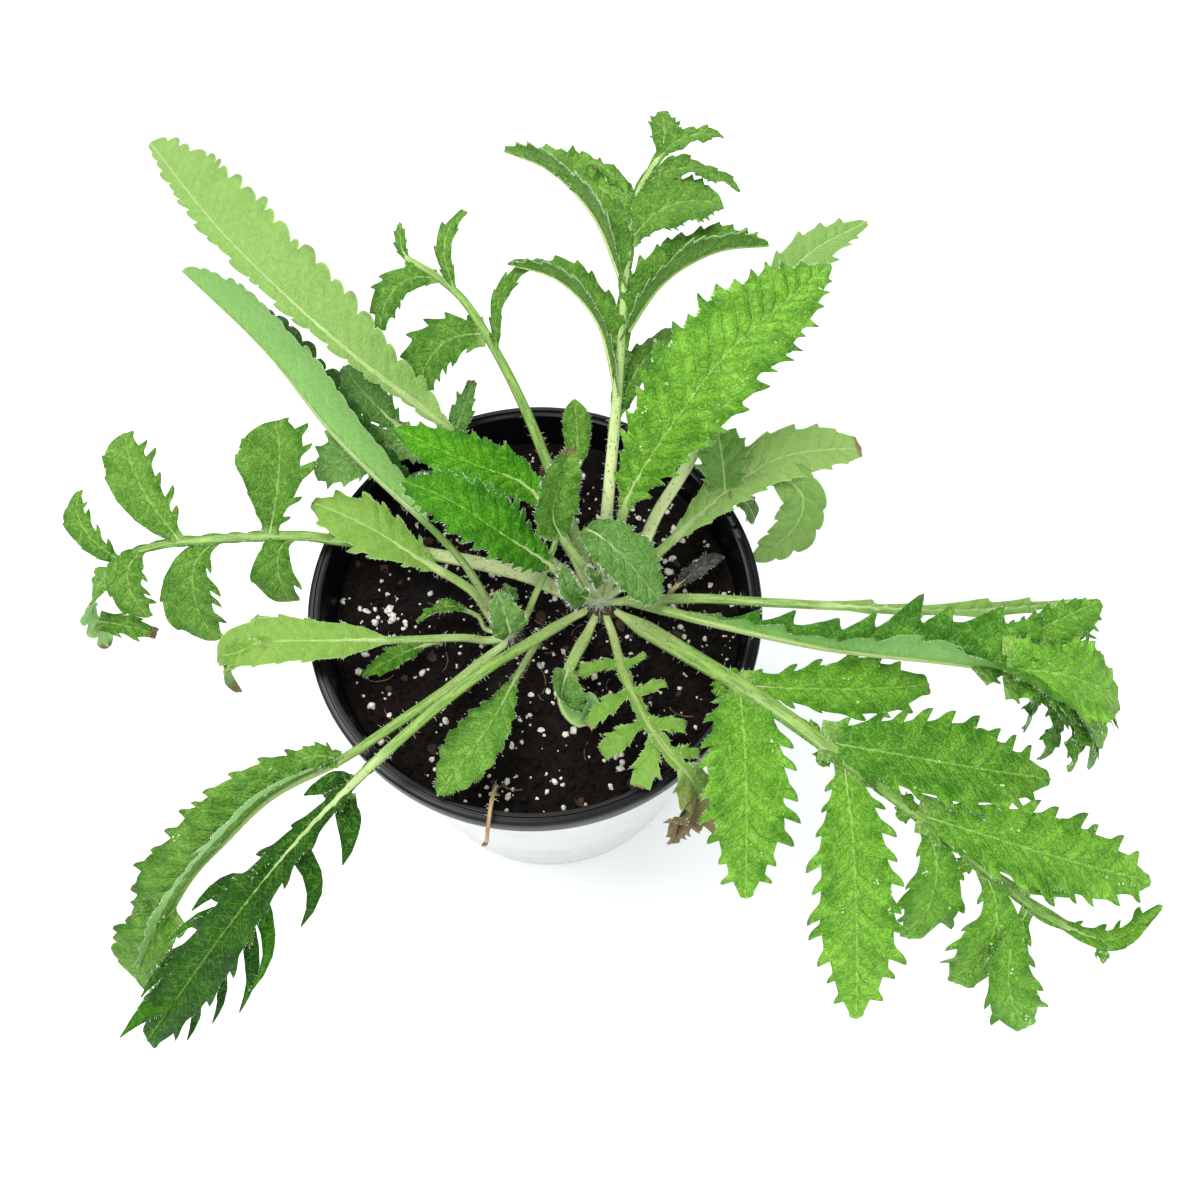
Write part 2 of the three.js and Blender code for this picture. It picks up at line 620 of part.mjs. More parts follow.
    through: [[33, 29, 186], [50, 48, 211], [69, 69, 222], [107, 111, 214]],
    blade: {
      from: 0.18, width: 44, sides: [1, 0.9], widest: 0.5, teeth: 10, cut: 0.2, fold: 14, wave: 1.2,
    },
  },
  leaf_heart_hairy: {
    colour: "grey", crown: "main", bearing: -5, slope: 62, stalk: [3.2, 4],
    through: [[27, 4, 168], [33, 6, 180], [44, -2, 181]],
    blade: { from: 0.3, width: 25, widest: 0.5, teeth: 6, cut: 0.12, fold: 16, fullness: 0.6 },
  },
  leaf_centre_bright: {
    colour: "bright", crown: "main", bearing: 164, slope: 38, stalk: [4, 3.4],
    through: [[5, 10, 174], [-11, 14, 191], [-27, 21, 201], [-45, 31, 198]],
    blade: { from: 0.22, width: 27, widest: 0.52, teeth: 8, cut: 0.2, fold: 15, wave: 1.2 },
  },
  leaf_centre_back: {
    colour: "bright", crown: "main", bearing: 150, slope: 60, stalk: [3.6, 3.2],
    through: [[9, 24, 174], [-4, 39, 180], [-23, 44, 187], [-41, 51, 191], [-51, 57, 190]],
    blade: { from: 0.34, width: 23, widest: 0.5, teeth: 7, cut: 0.16, fold: 10 },
  },
  leaf_centre_folded: {
    colour: "middle", crown: "main", bearing: 95, slope: 68, stalk: [3.2, 3],
    through: [[16, 12, 178], [10, 18, 194], [12, 30, 212]],
    blade: { from: 0.3, width: 16, widest: 0.45, teeth: 5, cut: 0.1, fold: 40 },
  },
  leaf_centre_spoon: {
    colour: "middle", crown: "side", bearing: 60, slope: 5, stalk: [2.6, 2.4, 2.4],
    through: [[-1, 3, 159], [4, 14, 163.5], [10, 33, 169], [15, 54, 179], [14, 72, 186]],
    blade: { from: 0.68, width: 11, widest: 0.65, teeth: 4, cut: 0.02, fold: 12, wave: 0 },
  },
  leaf_back_low: {
    colour: "grey", crown: "main", bearing: 138, slope: 5, stalk: [4.4, 2.8],
    through: [[-14, 35, 160], [-37, 54, 168], [-52, 66, 175], [-65, 78, 179], [-75, 92, 178]],
    blade: { from: 0.72, width: 20, widest: 0.5, teeth: 4, cut: 0.3, fold: 10 },
    leaflets: [
      leaflet(0.66, [-88, 50, 176], 19, 5, { arch: 2 }),
      leaflet(0.54, [-24, 83, 182], 11, 4, { arch: 2 }),
      leaflet(0.5, [-50, 47, 170], 7, 2, { arch: 1, cut: 0.05 }),
    ],
  },
  dry_stalk: {
    colour: "dry", foot: [-13, -65], stalk: [1.6, 1.4, 1.4],
    through: [[-13, -69, 159], [-13, -77, 169], [-14, -84, 166], [-15, -86, 158], [-17, -86, 151]],
    blade: { from: 0.86, width: 2.2, teeth: 2, cut: 0.3, fold: 5, wave: 0 },
  },
  dry_leaf: {
    colour: "dry", foot: [50, 9], stalk: [2, 2],
    through: [[54, 12, 153], [61, 17, 155], [70, 24, 152]],
    blade: { from: 0.4, width: 9, teeth: 3, cut: 0.2, fold: 28 },
  },
  seedling: {
    colour: "grey", foot: [-10, 5], stalk: [1.6, 1.2],
    through: [[-10, 6, 155], [-12, 9, 159]],
    blade: { from: 0.55, width: 6, teeth: 2, cut: 0.05, fold: 8 },
  },
};

const object = new THREE.Group();
object.name = "potted_oriental_poppy";

object.add(namedMesh("outer_pot", outerPot(), 0xe6e8e8, 0.45));
object.add(namedMesh("growers_pot", growersPot(), 0x15171a, 0.5));

const holes = Object.values(CROWNS).map(crownHole);
for (const leaf of Object.values(LEAVES)) {
  if (leaf.foot) holes.push(footHole(leaf.foot, leaf.stalk[0] / 2 + 0.8));
}
object.add(namedMesh("soil", soil(holes), 0x2a1d16, 0.95));
object.add(namedMesh("crown_main", crownBody(CROWNS.main), 0x9ba77a, 0.8));
object.add(namedMesh("crown_side", crownBody(CROWNS.side), 0x9ba77a, 0.8));

for (const [name, leaf] of Object.entries(LEAVES)) {
  object.add(namedMesh(name, geometryOf(leafBody(leaf)), LEAF_COLOURS[leaf.colour], 0.6));
}

export default object;
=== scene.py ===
"""A young oriental poppy in a nursery pot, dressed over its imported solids.

The tables hold millimetres, and a mesh is turned into metres when it is made. The origin is on the
pot's axis at the level of the surface it stands on, +Z up, +Y the back of the plant.
"""

import logging
import math
from dataclasses import dataclass, field
from enum import Enum

import bpy
import numpy as np
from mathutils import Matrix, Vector, noise


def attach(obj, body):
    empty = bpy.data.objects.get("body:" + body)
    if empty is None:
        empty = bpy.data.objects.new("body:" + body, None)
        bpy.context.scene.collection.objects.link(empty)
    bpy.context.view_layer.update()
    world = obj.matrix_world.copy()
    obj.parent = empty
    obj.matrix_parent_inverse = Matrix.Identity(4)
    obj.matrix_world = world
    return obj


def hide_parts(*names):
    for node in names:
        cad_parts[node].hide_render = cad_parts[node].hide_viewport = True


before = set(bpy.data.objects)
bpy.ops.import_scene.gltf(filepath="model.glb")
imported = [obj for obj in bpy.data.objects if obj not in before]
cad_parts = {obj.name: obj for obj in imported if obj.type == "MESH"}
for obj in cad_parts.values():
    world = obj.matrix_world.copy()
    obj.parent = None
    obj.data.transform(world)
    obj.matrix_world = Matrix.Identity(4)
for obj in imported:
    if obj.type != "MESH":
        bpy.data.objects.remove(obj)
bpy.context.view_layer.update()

LOG = logging.getLogger("poppy")
MM = 0.001
Array = np.ndarray
Pair = tuple[float, float]
Point = tuple[float, float, float]


def rgb(code: int) -> Point:
    """A colour code such as 0x5fae2e as linear red, green and blue."""
    parts = [((code >> shift) & 255) / 255 for shift in (16, 8, 0)]
    return tuple(p / 12.92 if p < 0.04045 else ((p + 0.055) / 1.055) ** 2.4 for p in parts)


class Wire:
    """A socket in a material, with arithmetic that adds Math nodes."""

    def __init__(self, shade: "Shade", socket: bpy.types.NodeSocket) -> None:
        """Keeps the material and the socket."""
        self.shade = shade
        self.socket = socket

    def _sum(self, operation: str, first: "Wire | float", second: "Wire | float") -> "Wire":
        """One Math node on two values."""
        return self.shade.node("ShaderNodeMath", {"operation": operation}, {0: first, 1: second})

    def __add__(self, other: "Wire | float") -> "Wire":
        """This plus other."""
        return self._sum("ADD", self, other)

    def __radd__(self, other: float) -> "Wire":
        """Other plus this."""
        return self._sum("ADD", other, self)

    def __sub__(self, other: "Wire | float") -> "Wire":
        """This less other."""
        return self._sum("SUBTRACT", self, other)

    def __rsub__(self, other: float) -> "Wire":
        """Other less this."""
        return self._sum("SUBTRACT", other, self)

    def __mul__(self, other: "Wire | float") -> "Wire":
        """This times other."""
        return self._sum("MULTIPLY", self, other)

    def __rmul__(self, other: float) -> "Wire":
        """Other times this."""
        return self._sum("MULTIPLY", other, self)

    def __abs__(self) -> "Wire":
        """This without its sign."""
        return self._sum("ABSOLUTE", self, 0.0)

    def __mod__(self, other: float) -> "Wire":
        """The rest of this over other, never negative."""
        return self._sum("FLOORED_MODULO", self, other)

    def step(self, low: float, high: float) -> "Wire":
        """A smooth step."""
        settings = {"interpolation_type": "SMOOTHSTEP", "clamp": True}
        if low < high:
            return self.shade.node("ShaderNodeMapRange", settings, {0: self, 1: low, 2: high, 3: 0.0, 4: 1.0})
        return self.shade.node("ShaderNodeMapRange", settings, {0: self, 1: high, 2: low, 3: 1.0, 4: 0.0})


class Shade:
    """The nodes of one material."""

    def __init__(self, name: str) -> None:
        """Makes an empty material."""
        self.material = bpy.data.materials.new(name)
        self.material.use_nodes = True
        self.tree = self.material.node_tree
        self.tree.nodes.clear()

    def node(self, kind: str, settings: dict, inputs: dict, output: int = 0) -> Wire:
        """Adds a node of any kind.

        Args:
            kind: The node's type.
            settings: Its properties, set first; "stops" sets a ramp's places and colours.
            inputs: The values or links of its sockets, by number or name.
            output: The number of the output that is used.

        Returns:
            That output.
        """
        made = self.tree.nodes.new(kind)
        for key, value in settings.items():
            if key == "stops":
                elements = made.color_ramp.elements
                while len(elements) < len(value):
                    elements.new(0.5)
                for element, (place, shown) in zip(elements, value):
                    element.position = place
                    element.color = (*shown, 1.0)
            else:
                setattr(made, key, value)
        for key, value in inputs.items():
            self.feed(made.inputs[key], value)
        return Wire(self, made.outputs[output])

    def feed(self, socket: bpy.types.NodeSocket, value: "Wire | float | tuple") -> None:
        """Links a wire to a socket, or sets the socket's own value."""
        if isinstance(value, Wire):
            self.tree.links.new(value.socket, socket)
        elif isinstance(value, tuple) and socket.type == "RGBA":
            socket.default_value = (*value, 1.0)
        else:
            socket.default_value = value

    def mix(self, share: "Wire | float", low: "Wire | Point", high: "Wire | Point") -> Wire:
        """A colour between two colours."""
        settings = {"data_type": "RGBA", "clamp_factor": True}
        return self.node("ShaderNodeMix", settings, {0: share, 6: low, 7: high}, 2)

    def noise(self, where: Wire, scale: float, detail: float = 3.0, rough: float = 0.55) -> Wire:
        """Cloudy noise from 0 to 1 over a place."""
        inputs = {"Vector": where, "Scale": scale, "Detail": detail, "Roughness": rough}
        return self.node("ShaderNodeTexNoise", {}, inputs)

    def cracks(self, where: Wire, scale: float) -> Wire:
        """The distance to the nearest border in a net of cells."""
        settings = {"feature": "DISTANCE_TO_EDGE"}
        return self.node("ShaderNodeTexVoronoi", settings, {"Vector": where, "Scale": scale})

    def bump(self, height: Wire, depth: float, strength: float = 1.0) -> Wire:
        """A surface's relief from a height, with its depth in millimetres."""
        inputs = {"Height": height, "Distance": depth * MM, "Strength": strength}
        return self.node("ShaderNodeBump", {}, inputs)

    def place(self) -> Wire:
        """The place on the object, in metres."""
        return self.node("ShaderNodeTexCoord", {}, {}, 3)

    def map(self, title: str) -> Wire:
        """One of the mesh's own maps, by its name."""
        return self.node("ShaderNodeUVMap", {"uv_map": title}, {})

    def tones(self) -> Wire:
        """The first three channels of the colour layer "tones"."""
        return self.node("ShaderNodeAttribute", {"attribute_name": "tones"}, {})

    def fourth_tone(self) -> Wire:
        """The fourth channel of "tones", which the node gives as alpha."""
        return self.node("ShaderNodeAttribute", {"attribute_name": "tones"}, {}, 3)

    def stretched(self, where: Wire, by: Point) -> Wire:
        """A place stretched by three shares."""
        return self.node("ShaderNodeVectorMath", {"operation": "MULTIPLY"}, {0: where, 1: by})

    def shifted(self, where: Wire, by: Wire) -> Wire:
        """A place moved by another wire's value."""
        return self.node("ShaderNodeVectorMath", {"operation": "ADD"}, {0: where, 1: by})

    def split(self, where: Wire) -> tuple[Wire, Wire, Wire]:
        """The three numbers of a vector."""
        first = self.node("ShaderNodeSeparateXYZ", {}, {0: where})
        return tuple(Wire(self, output) for output in first.socket.node.outputs)

    def close(self, **sockets: "Wire | float | tuple") -> bpy.types.Material:
        """Ends the material with its surface."""
        inputs = {key.replace("_", " "): value for key, value in sockets.items()}
        shader = self.node("ShaderNodeBsdfPrincipled", {}, inputs)
        end = self.tree.nodes.new("ShaderNodeOutputMaterial")
        self.tree.links.new(shader.socket, end.inputs["Surface"])
        return self.material


class Tone(Enum):
    """The colour family of a leaf."""

    BRIGHT = "bright"
    LUSH = "lush"
    MIDDLE = "middle"
    PALE = "pale"
    YELLOW = "yellow"
    GREY = "grey"
    DARK = "dark"
    DRY = "dry"
    ASH = "ash"


class Tissue(Shade):
    """A blade's material, with the maps, clouds and veins that its looks are worked out from.

    The blade's meshes carry two maps: "veins" holds the share across the blade and the count of side
    veins passed, and "lamina" holds centimetres across and along it. The colour layer "tones" holds
    how dry the tissue is, how pale, how deep its green together with painted shade (darker towards
    the blade's foot and on leaflets that lie in shadow) and, in its fourth channel, how near it is to
    the tip of a tooth.
    """

    def __init__(self, name: str) -> None:
        """Makes the material and lays the patterns out in it."""
        super().__init__(name)
        across, count, _ = self.split(self.map("veins"))
        self.lamina = self.map("lamina")
        self.side = self.split(self.lamina)[0]
        self.dry, self.pale, self.depth = self.split(self.tones())
        self.tip = self.fourth_tone()
        self.cloud = self.noise(self.lamina, 0.9, 4.0)
        self.grain = self.noise(self.lamina, 9.0, 3.0)
        wander = self.noise(self.lamina, 1.6, 2.0)
        self.edge = abs(across * 2 - 1)
        self.nearest = 0.5 - abs((count + (wander - 0.5) * 0.35) % 1 - 0.5)
        patchy = self.cloud.step(0.25, 0.7) * 0.6 + 0.4
        self.lateral = self.nearest.step(0.1, 0.0) * self.edge.step(1.0, 0.2) * patchy
        branch = 0.5 - abs((count * 2.0 + self.edge * 1.7 + wander) % 1 - 0.5)
        self.fine = branch.step(0.05, 0.0) * self.edge.step(0.25, 0.6)
        self.cells = self.cracks(self.shifted(self.lamina, self.noise(self.lamina, 3.0, 2.0)), 3.4)


@dataclass(frozen=True)
class BladeFinish:
    """The finish of a leaf blade's upper or under face.

    The three colours are its deep green, its light green and its veins. Crinkle is how strongly the
    veins and the puffs between them show.
    """

    DARKEST = 0x16300C
    PALE_BRINK = 0xC9DFA0
    DARK_BRINK = 0x3C5C28
    TOOTH_TIP = 0x5E6444
    BLEACHED = 0xC2D88A
    FRECKLE = 0x4A4A1C
    WITHERED = (0x3E3224, 0x9A8660)

    name: str
    deep: int
    light: int
    vein: int
    under: bool = False
    wet: bool = False
    rough: float = 0.5
    crinkle: float = 1.0

    def build(self) -> bpy.types.Material:
        """The material with its veins, net, mottling, pale edge and dried tissue."""
        s = Tissue(self.name)
        colour = self.greens(s)
        colour = s.mix(s.cells.step(0.1, 0.0) * 0.2 * self.crinkle, colour, rgb(self.vein))
        colour = s.mix(s.fine * 0.24 * self.crinkle, colour, rgb(self.vein))
        colour = self.painted_shade(s, colour)
        colour = self.veined(s, colour)
        colour = self.edged(s, colour)
        colour = self.aged(s, colour)
        puff = s.cells.step(0.0, 0.3) * 0.9 + s.grain * 0.5
        relief = puff + s.nearest * 1.6 - s.fine * 0.4 - s.lateral * 0.9
        normal = s.bump(relief * (-0.6 if self.under else 1.0), 0.6 * self.crinkle, 0.9)
        rough = self.roughness(s)
        return s.close(Base_Color=colour, Roughness=rough, Normal=normal, Specular_IOR_Level=0.16)

    def greens(self, s: Tissue) -> Wire:
        """The mottled green, between the deep one and the light one."""
        mottled = s.cloud.step(0.3, 0.72) * 0.55 * self.crinkle
        # the depth tone holds painted shade as well as the depth of green, so it sets how much of the light
        # green shows
        lightness = mottled + (1 - s.depth) * 0.9 - 0.22 * self.crinkle
        colour = s.mix(lightness, rgb(self.deep), rgb(self.light))
        return s.mix(s.grain.step(0.45, 0.8) * 0.22, colour, rgb(self.light))

    def painted_shade(self, s: Tissue, colour: Wire) -> Wire:
        """The colour with painted shade in the creases beside the side veins, darker in patches towards the
        edge and darkest where the depth tone is high.
        """
        edge, cloud = s.edge, s.cloud
        # painted shade: the creases beside the side veins are darkened as if shadowed
        crease = s.nearest.step(0.26, 0.02) * edge.step(1.0, 0.4) * cloud.step(0.25, 0.7)
        colour = s.mix(crease * (0.1 if self.under else 0.3 * self.crinkle), colour, rgb(self.deep))
        if not self.under:
            outer = edge.step(0.3, 0.95) * cloud.step(0.62, 0.35) * 0.6 * self.crinkle
            colour = s.mix(outer, colour, rgb(self.deep))
        # darkest green where the depth tone passes 1: the leaf's own dark green together with painted shade
        # on leaflets lying in shadow
        return s.mix(s.depth.step(1.0, 2.0) * 0.7, colour, rgb(self.DARKEST))

    def veined(self, s: Tissue, colour: Wire) -> Wire:
        """The colour with the side veins and the midrib."""
        strength = 0.12 if self.under else 0.1 + 0.26 * self.crinkle
        colour = s.mix(s.lateral * strength, colour, rgb(self.vein))
        return s.mix(abs(s.side).step(0.055, 0.01) * 0.5, colour, rgb(self.vein))

    def edged(self, s: Tissue, colour: Wire) -> Wire:
        """The colour with its thin brink and the tips of its teeth."""
        brink = self.PALE_BRINK if self.under or self.crinkle < 1 else self.DARK_BRINK
        colour = s.mix(s.edge.step(0.94, 1.0) * 0.3, colour, rgb(brink))
        return s.mix(s.tip.step(0.55, 1.0) * 0.55, colour, rgb(self.TOOTH_TIP))

    def aged(self, s: Tissue, colour: Wire) -> Wire:
        """The colour with its bleached foot, its dried tissue and its freckles."""
        dry, grain = s.dry, s.grain
        colour = s.mix(s.pale * 0.6, colour, rgb(self.BLEACHED))
        withered = (dry + (grain - 0.5) * 0.5 * dry).step(0.35, 0.75)
        colour = s.mix(withered, colour, s.mix(grain, rgb(self.WITHERED[0]), rgb(self.WITHERED[1])))
        freckle = s.noise(s.lamina, 2.6, 1.0).step(0.77, 0.81)
        return s.mix(freckle * (0.25 if self.under else 0.5), colour, rgb(self.FRECKLE))

    def roughness(self, s: Tissue) -> Wire:
        """The roughness, which is low in patches where the blade is wet."""
        if self.wet:
            return self.rough - s.noise(s.lamina, 2.2, 2.0).step(0.5, 0.62) * 0.36
        return self.rough + (s.cloud - 0.5) * 0.2


@dataclass(frozen=True)
class StalkFinish:
    """The finish of stalks and ribs: streaks along them and, on some, dark dots."""

    STREAKS = (14.0, 0.9, 1.0)
    DOTS = (14.0, 5.0, 1.0)
    BLEACHED = 0xD4DEA2
    DOT = 0x3F4A22
    WITHERED = 0x8A6E4C

    name: str
    deep: int
    light: int
    dots: float = 0.0
    edge: int = 0x3E661C

    def build(self) -> bpy.types.Material:
        """The material with its streaks, darker edges, dots and dried ends."""
        s = Shade(self.name)
        lamina = s.map("lamina")
        dry, pale, _ = s.split(s.tones())
        around, _, _ = s.split(lamina)
        streak = s.noise(s.stretched(lamina, self.STREAKS), 1.0, 4.0)
        blotch = s.noise(lamina, 1.3, 2.0)
        rim = abs((around * 2) % 1 - 0.5) * 2
        colour = s.mix(streak.step(0.3, 0.7), rgb(self.deep), rgb(self.light))
        colour = s.mix(rim.step(0.5, 1.0) * 0.6, colour, rgb(self.edge))
        colour = s.mix(blotch.step(0.5, 0.8) * 0.3, colour, rgb(self.deep))
        colour = s.mix(pale * 0.75, colour, rgb(self.BLEACHED))
        if self.dots:
            spot = s.noise(s.stretched(lamina, self.DOTS), 1.0, 1.0).step(0.63, 0.68)
            colour = s.mix(spot * self.dots, colour, rgb(self.DOT))
        colour = s.mix(dry.step(0.3, 0.8), colour, rgb(self.WITHERED))
        normal = s.bump(streak, 0.15, 0.6)
        return s.close(Base_Color=colour, Roughness=0.42, Normal=normal, Specular_IOR_Level=0.5)


@dataclass(frozen=True)
class MouldedFinish:
    """Moulded plastic: faint grain, dust and scuffs."""

    name: str
    base: int
    dust: int
    rough: float
    soiled: float
    shine: float = 0.5

    def build(self) -> bpy.types.Material:
        """The material with its grain, dust and scuffs."""
        s = Shade(self.name)
        where = s.place()
        cloud = s.noise(where, 28.0, 5.0)
        grain = s.noise(where, 900.0, 2.0)
        scuff = s.noise(s.stretched(where, (1.0, 1.0, 9.0)), 90.0, 3.0)
        colour = s.mix(cloud.step(0.5, 0.8) * self.soiled, rgb(self.base), rgb(self.dust))
        colour = s.mix(scuff.step(0.62, 0.7) * self.soiled * 0.6, colour, rgb(self.dust))
        rough = self.rough + (cloud - 0.5) * 0.25
        normal = s.bump(grain, 0.02, 0.5)
        return s.close(Base_Color=colour, Roughness=rough, Normal=normal, Specular_IOR_Level=self.shine)


@dataclass(frozen=True)
class EarthFinish:
    """Peat: dark, damp and crumbly."""

    FIBRE = 0x3A261A
    DAMP = 0x060302

    name: str
    dark: int
    light: int

    def build(self) -> bpy.types.Material:
        """The material with its crumbs, fibres and damp patches."""
        s = Shade(self.name)
        where = s.place()
        crumb = s.noise(where, 420.0, 6.0, 0.7)
        fibre = s.noise(s.stretched(where, (1.0, 3.0, 1.0)), 260.0, 4.0, 0.65)
        damp = s.noise(where, 45.0, 3.0)
        colour = s.mix(crumb.step(0.35, 0.72), rgb(self.dark), rgb(self.light))
        colour = s.mix(fibre.step(0.62, 0.72) * 0.3, colour, rgb(self.FIBRE))
        colour = s.mix(damp.step(0.45, 0.65) * 0.5, colour, rgb(self.DAMP))
        rough = 0.95 - damp.step(0.55, 0.75) * 0.3
        return s.close(Base_Color=colour, Roughness=rough, Normal=s.bump(crumb, 1.2), Specular_IOR_Level=0.2)


@dataclass(frozen=True)
class GrainFinish:
    """Small plain things: perlite, hairs, dried bits."""

    name: str
    low: int
    high: int
    rough: float
    scale: float = 500.0
    depth: float = 0.2

    def build(self) -> bpy.types.Material:
        """The material with its mottling and relief."""
        s = Shade(self.name)
        mottle = s.noise(s.place(), self.scale, 4.0)
        colour = s.mix(mottle.step(0.3, 0.7), rgb(self.low), rgb(self.high))
        return s.close(Base_Color=colour, Roughness=self.rough, Normal=s.bump(mottle, self.depth))


class Finishes:
    """Every finish of the plant and its pot, built once."""

    # Deep green, light green and vein of the upper face, then deep and light green of the under face
    GREENS = {
        Tone.BRIGHT: (0x2C6808, 0x76B030, 0xA0C868, 0x70A450, 0x94C078),
        Tone.LUSH: (0x1E5C00, 0x4E9A0C, 0x88BC40, 0x70A450, 0x94C078),
        Tone.MIDDLE: (0x2C600C, 0x6A9A36, 0x98BC64, 0x74A656, 0x96C078),
        Tone.PALE: (0x608A3A, 0x84A656, 0xB4CC88, 0x6C9A48, 0x86AE62),
        Tone.YELLOW: (0x5E882C, 0x8CAC52, 0xAAC678, 0x6E9C4C, 0x90B870),
        Tone.GREY: (0x3C6E20, 0x689446, 0x9AB47C, 0x6A9A4C, 0x80AC60),
        Tone.DARK: (0x0E3A00, 0x2E6A00, 0x7CAC3C, 0x4A7A30, 0x6E9C52),
        Tone.DRY: (0x5B4428, 0x8F7448, 0xB09A70, 0x5B4428, 0x8F7448),
        Tone.ASH: (0x35332E, 0x6A6860, 0x84827A, 0x35332E, 0x6A6860),
    }
    UNDER_VEIN = 0xB4CC90

    def __init__(self) -> None:
        """Builds the materials."""
        self.upper = {tone: self.above(tone) for tone in self.GREENS}
        self.under = {tone: self.below(tone) for tone in self.GREENS}
        self.stalk =StalkFinish("stalk_green", 0x527C26, 0x8CAC4E, dots=0.6).build()
        self.stalk_dotted = StalkFinish("stalk_dotted", 0x84A650, 0xA2BC6C, 0.9, 0x3A6A22).build()
        self.stalk_dry = StalkFinish("stalk_dry", 0x6E5230, 0xB8925C, edge=0x5A4428).build()
        self.liner = MouldedFinish("pot_black", 0x050506, 0x1C1C1D, 0.34, 0.4, 0.25).build()
        self.outer = MouldedFinish("pot_white", 0xBEBEBD, 0xAEAEAA, 0.24, 0.3).build()
        self.earth = EarthFinish("peat", 0x050302, 0x1E140E).build()
        self.perlite = GrainFinish("perlite", 0xB9B3A2, 0xF3F0E6, 0.85, 900.0, 0.3).build()
        self.bark = GrainFinish("peat_lump", 0x1C120C, 0x3E2C1E, 0.9, 500.0, 0.5).build()
        self.straw = GrainFinish("straw", 0x4A3A26, 0x7C6644, 0.8).build()
        self.hair = GrainFinish("hair", 0xDCE3D2, 0xF6F8F0, 0.5, 300.0, 0.02).build()
        # crown: the old leaf bases' brown, darkened to near black with painted shade for the gaps between the
        # stalks
        self.crown = GrainFinish("crown", 0x120C06, 0x3C3218, 0.8, 260.0, 0.6).build()
        self.water = GrainFinish("water", 0x86B45A, 0xB4D48C, 0.03, 300.0, 0.01).build()
        self.floor = GrainFinish("ground_white", 0xF4F5F5, 0xFBFBFB, 0.7, 3.0, 0.01).build()

    def above(self, tone: Tone) -> bpy.types.Material:
        """The upper face of a tone's blades."""
        deep, light, vein = self.GREENS[tone][:3]
        wet = tone in (Tone.BRIGHT, Tone.DARK)
        crinkle = 0.35 if tone in (Tone.PALE, Tone.YELLOW) else 1.0
        return BladeFinish(f"blade_{tone.value}_upper", deep, light, vein, wet=wet, crinkle=crinkle).build()

    def below(self, tone: Tone) -> bpy.types.Material:
        """The under face of a tone's blades."""
        deep, light = self.GREENS[tone][3:]
        name = f"blade_{tone.value}_under"
        return BladeFinish(name, deep, light, self.UNDER_VEIN, under=True, crinkle=0.5).build()


class Mesh:
    """Gathers parts of one mesh: corners, faces, maps and tones."""

    def __init__(self) -> None:
        """Starts empty."""
        self.corners: list[Array] = []
        self.faces: list[Array] = []
        self.slots: list[Array] = []
        self.veins: list[Array] = []
        self.lamina: list[Array] = []
        self.tones: list[Array] = []
        self.count = 0

    def add(
        self, corners: Array, faces: Array, slot: int, veins: Array | None = None,
        lamina: Array | None = None, tones: Array | None = None,
    ) -> None:
        """Adds corners in millimetres with the faces between them.

        Args:
            corners: One row for each corner.
            faces: One row of corner numbers for each face.
            slot: The number of the faces' finish.
            veins: The vein map at each corner.
            lamina: The lamina map at each corner.
            tones: Dryness, paleness, depth of green with painted shade, and nearness to a tooth's tip at each
                corner.
        """
        size = len(corners)
        self.corners.append(np.asarray(corners, float))
        self.faces.append(np.asarray(faces, int) + self.count)
        self.slots.append(np.full(len(faces), slot))
        self.veins.append(np.zeros((size, 2)) if veins is None else veins)
        self.lamina.append(np.zeros((size, 2)) if lamina is None else lamina)
        self.tones.append(np.zeros((size, 4)) if tones is None else tones)
        self.count += size

    def close(self, faces: Array, slot: int) -> None:
        """Adds faces between corners that are there already, by their numbers in the whole mesh."""
        self.faces.append(np.atleast_2d(faces))
        self.slots.append(np.full(len(self.faces[-1]), slot))

    def build(
        self, name: str, finishes: list[bpy.types.Material], maps: bool = True, sharp: float = 80
    ) -> bpy.types.Object:
        """Makes the object.

        Args:
            name: The piece's name.
            finishes: Its materials, by slot number.
            maps: Whether it carries the blade maps and tones.
            sharp: The angle between faces, in degrees, from which an edge is sharp.

        Returns:
            The new object.
        """
        corners = np.vstack(self.corners) * MM
        faces = [row for part in self.faces for row in part.tolist()]
        mesh = bpy.data.meshes.new(name)
        mesh.from_pydata(corners.tolist(), [], faces)
        mesh.polygons.foreach_set("material_index", np.concatenate(self.slots).astype(np.int32))
        mesh.polygons.foreach_set("use_smooth", np.ones(len(faces), bool))
        if maps:
            loops = np.zeros(len(mesh.loops), np.int32)
            mesh.loops.foreach_get("vertex_index", loops)
            for title, parts in (("veins", self.veins), ("lamina", self.lamina)):
                layer = mesh.uv_layers.new(name=title)
                layer.data.foreach_set("uv", np.vstack(parts)[loops].astype(np.float32).ravel())
            layer = mesh.color_attributes.new("tones", "FLOAT_COLOR", "POINT")
            layer.data.foreach_set("color", np.vstack(self.tones).astype(np.float32).ravel())
        mesh.update()
        mesh.set_sharp_from_angle(angle=math.radians(sharp))
        for finish in finishes:
            mesh.materials.append(finish)
        made = bpy.data.objects.new(name, mesh)
        bpy.context.scene.collection.objects.link(made)
        return made


def grid_faces(rows: int, columns: int, closed: bool = False) -> Array:
    """The four-cornered faces of a grid of corners."""
    gaps = columns if closed else columns - 1
    row, column = np.meshgrid(np.arange(rows - 1), np.arange(gaps), indexing="ij")
    row, column = row.ravel(), column.ravel()
    following = (column + 1) % columns
    near, far = row * columns, (row + 1) * columns
    return np.stack([near + column, near + following, far + following, far + column], 1)


def seat_piece(piece: bpy.types.Object, slot: str, *nodes: str) -> bpy.types.Object:
    """Puts a piece on the one body, in the place of CAD nodes, and reports it."""
    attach(piece, "root")
    if nodes:
        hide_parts(*nodes)
    LOG.info("%s: %d faces", piece.name, len(piece.data.polygons))
    return piece


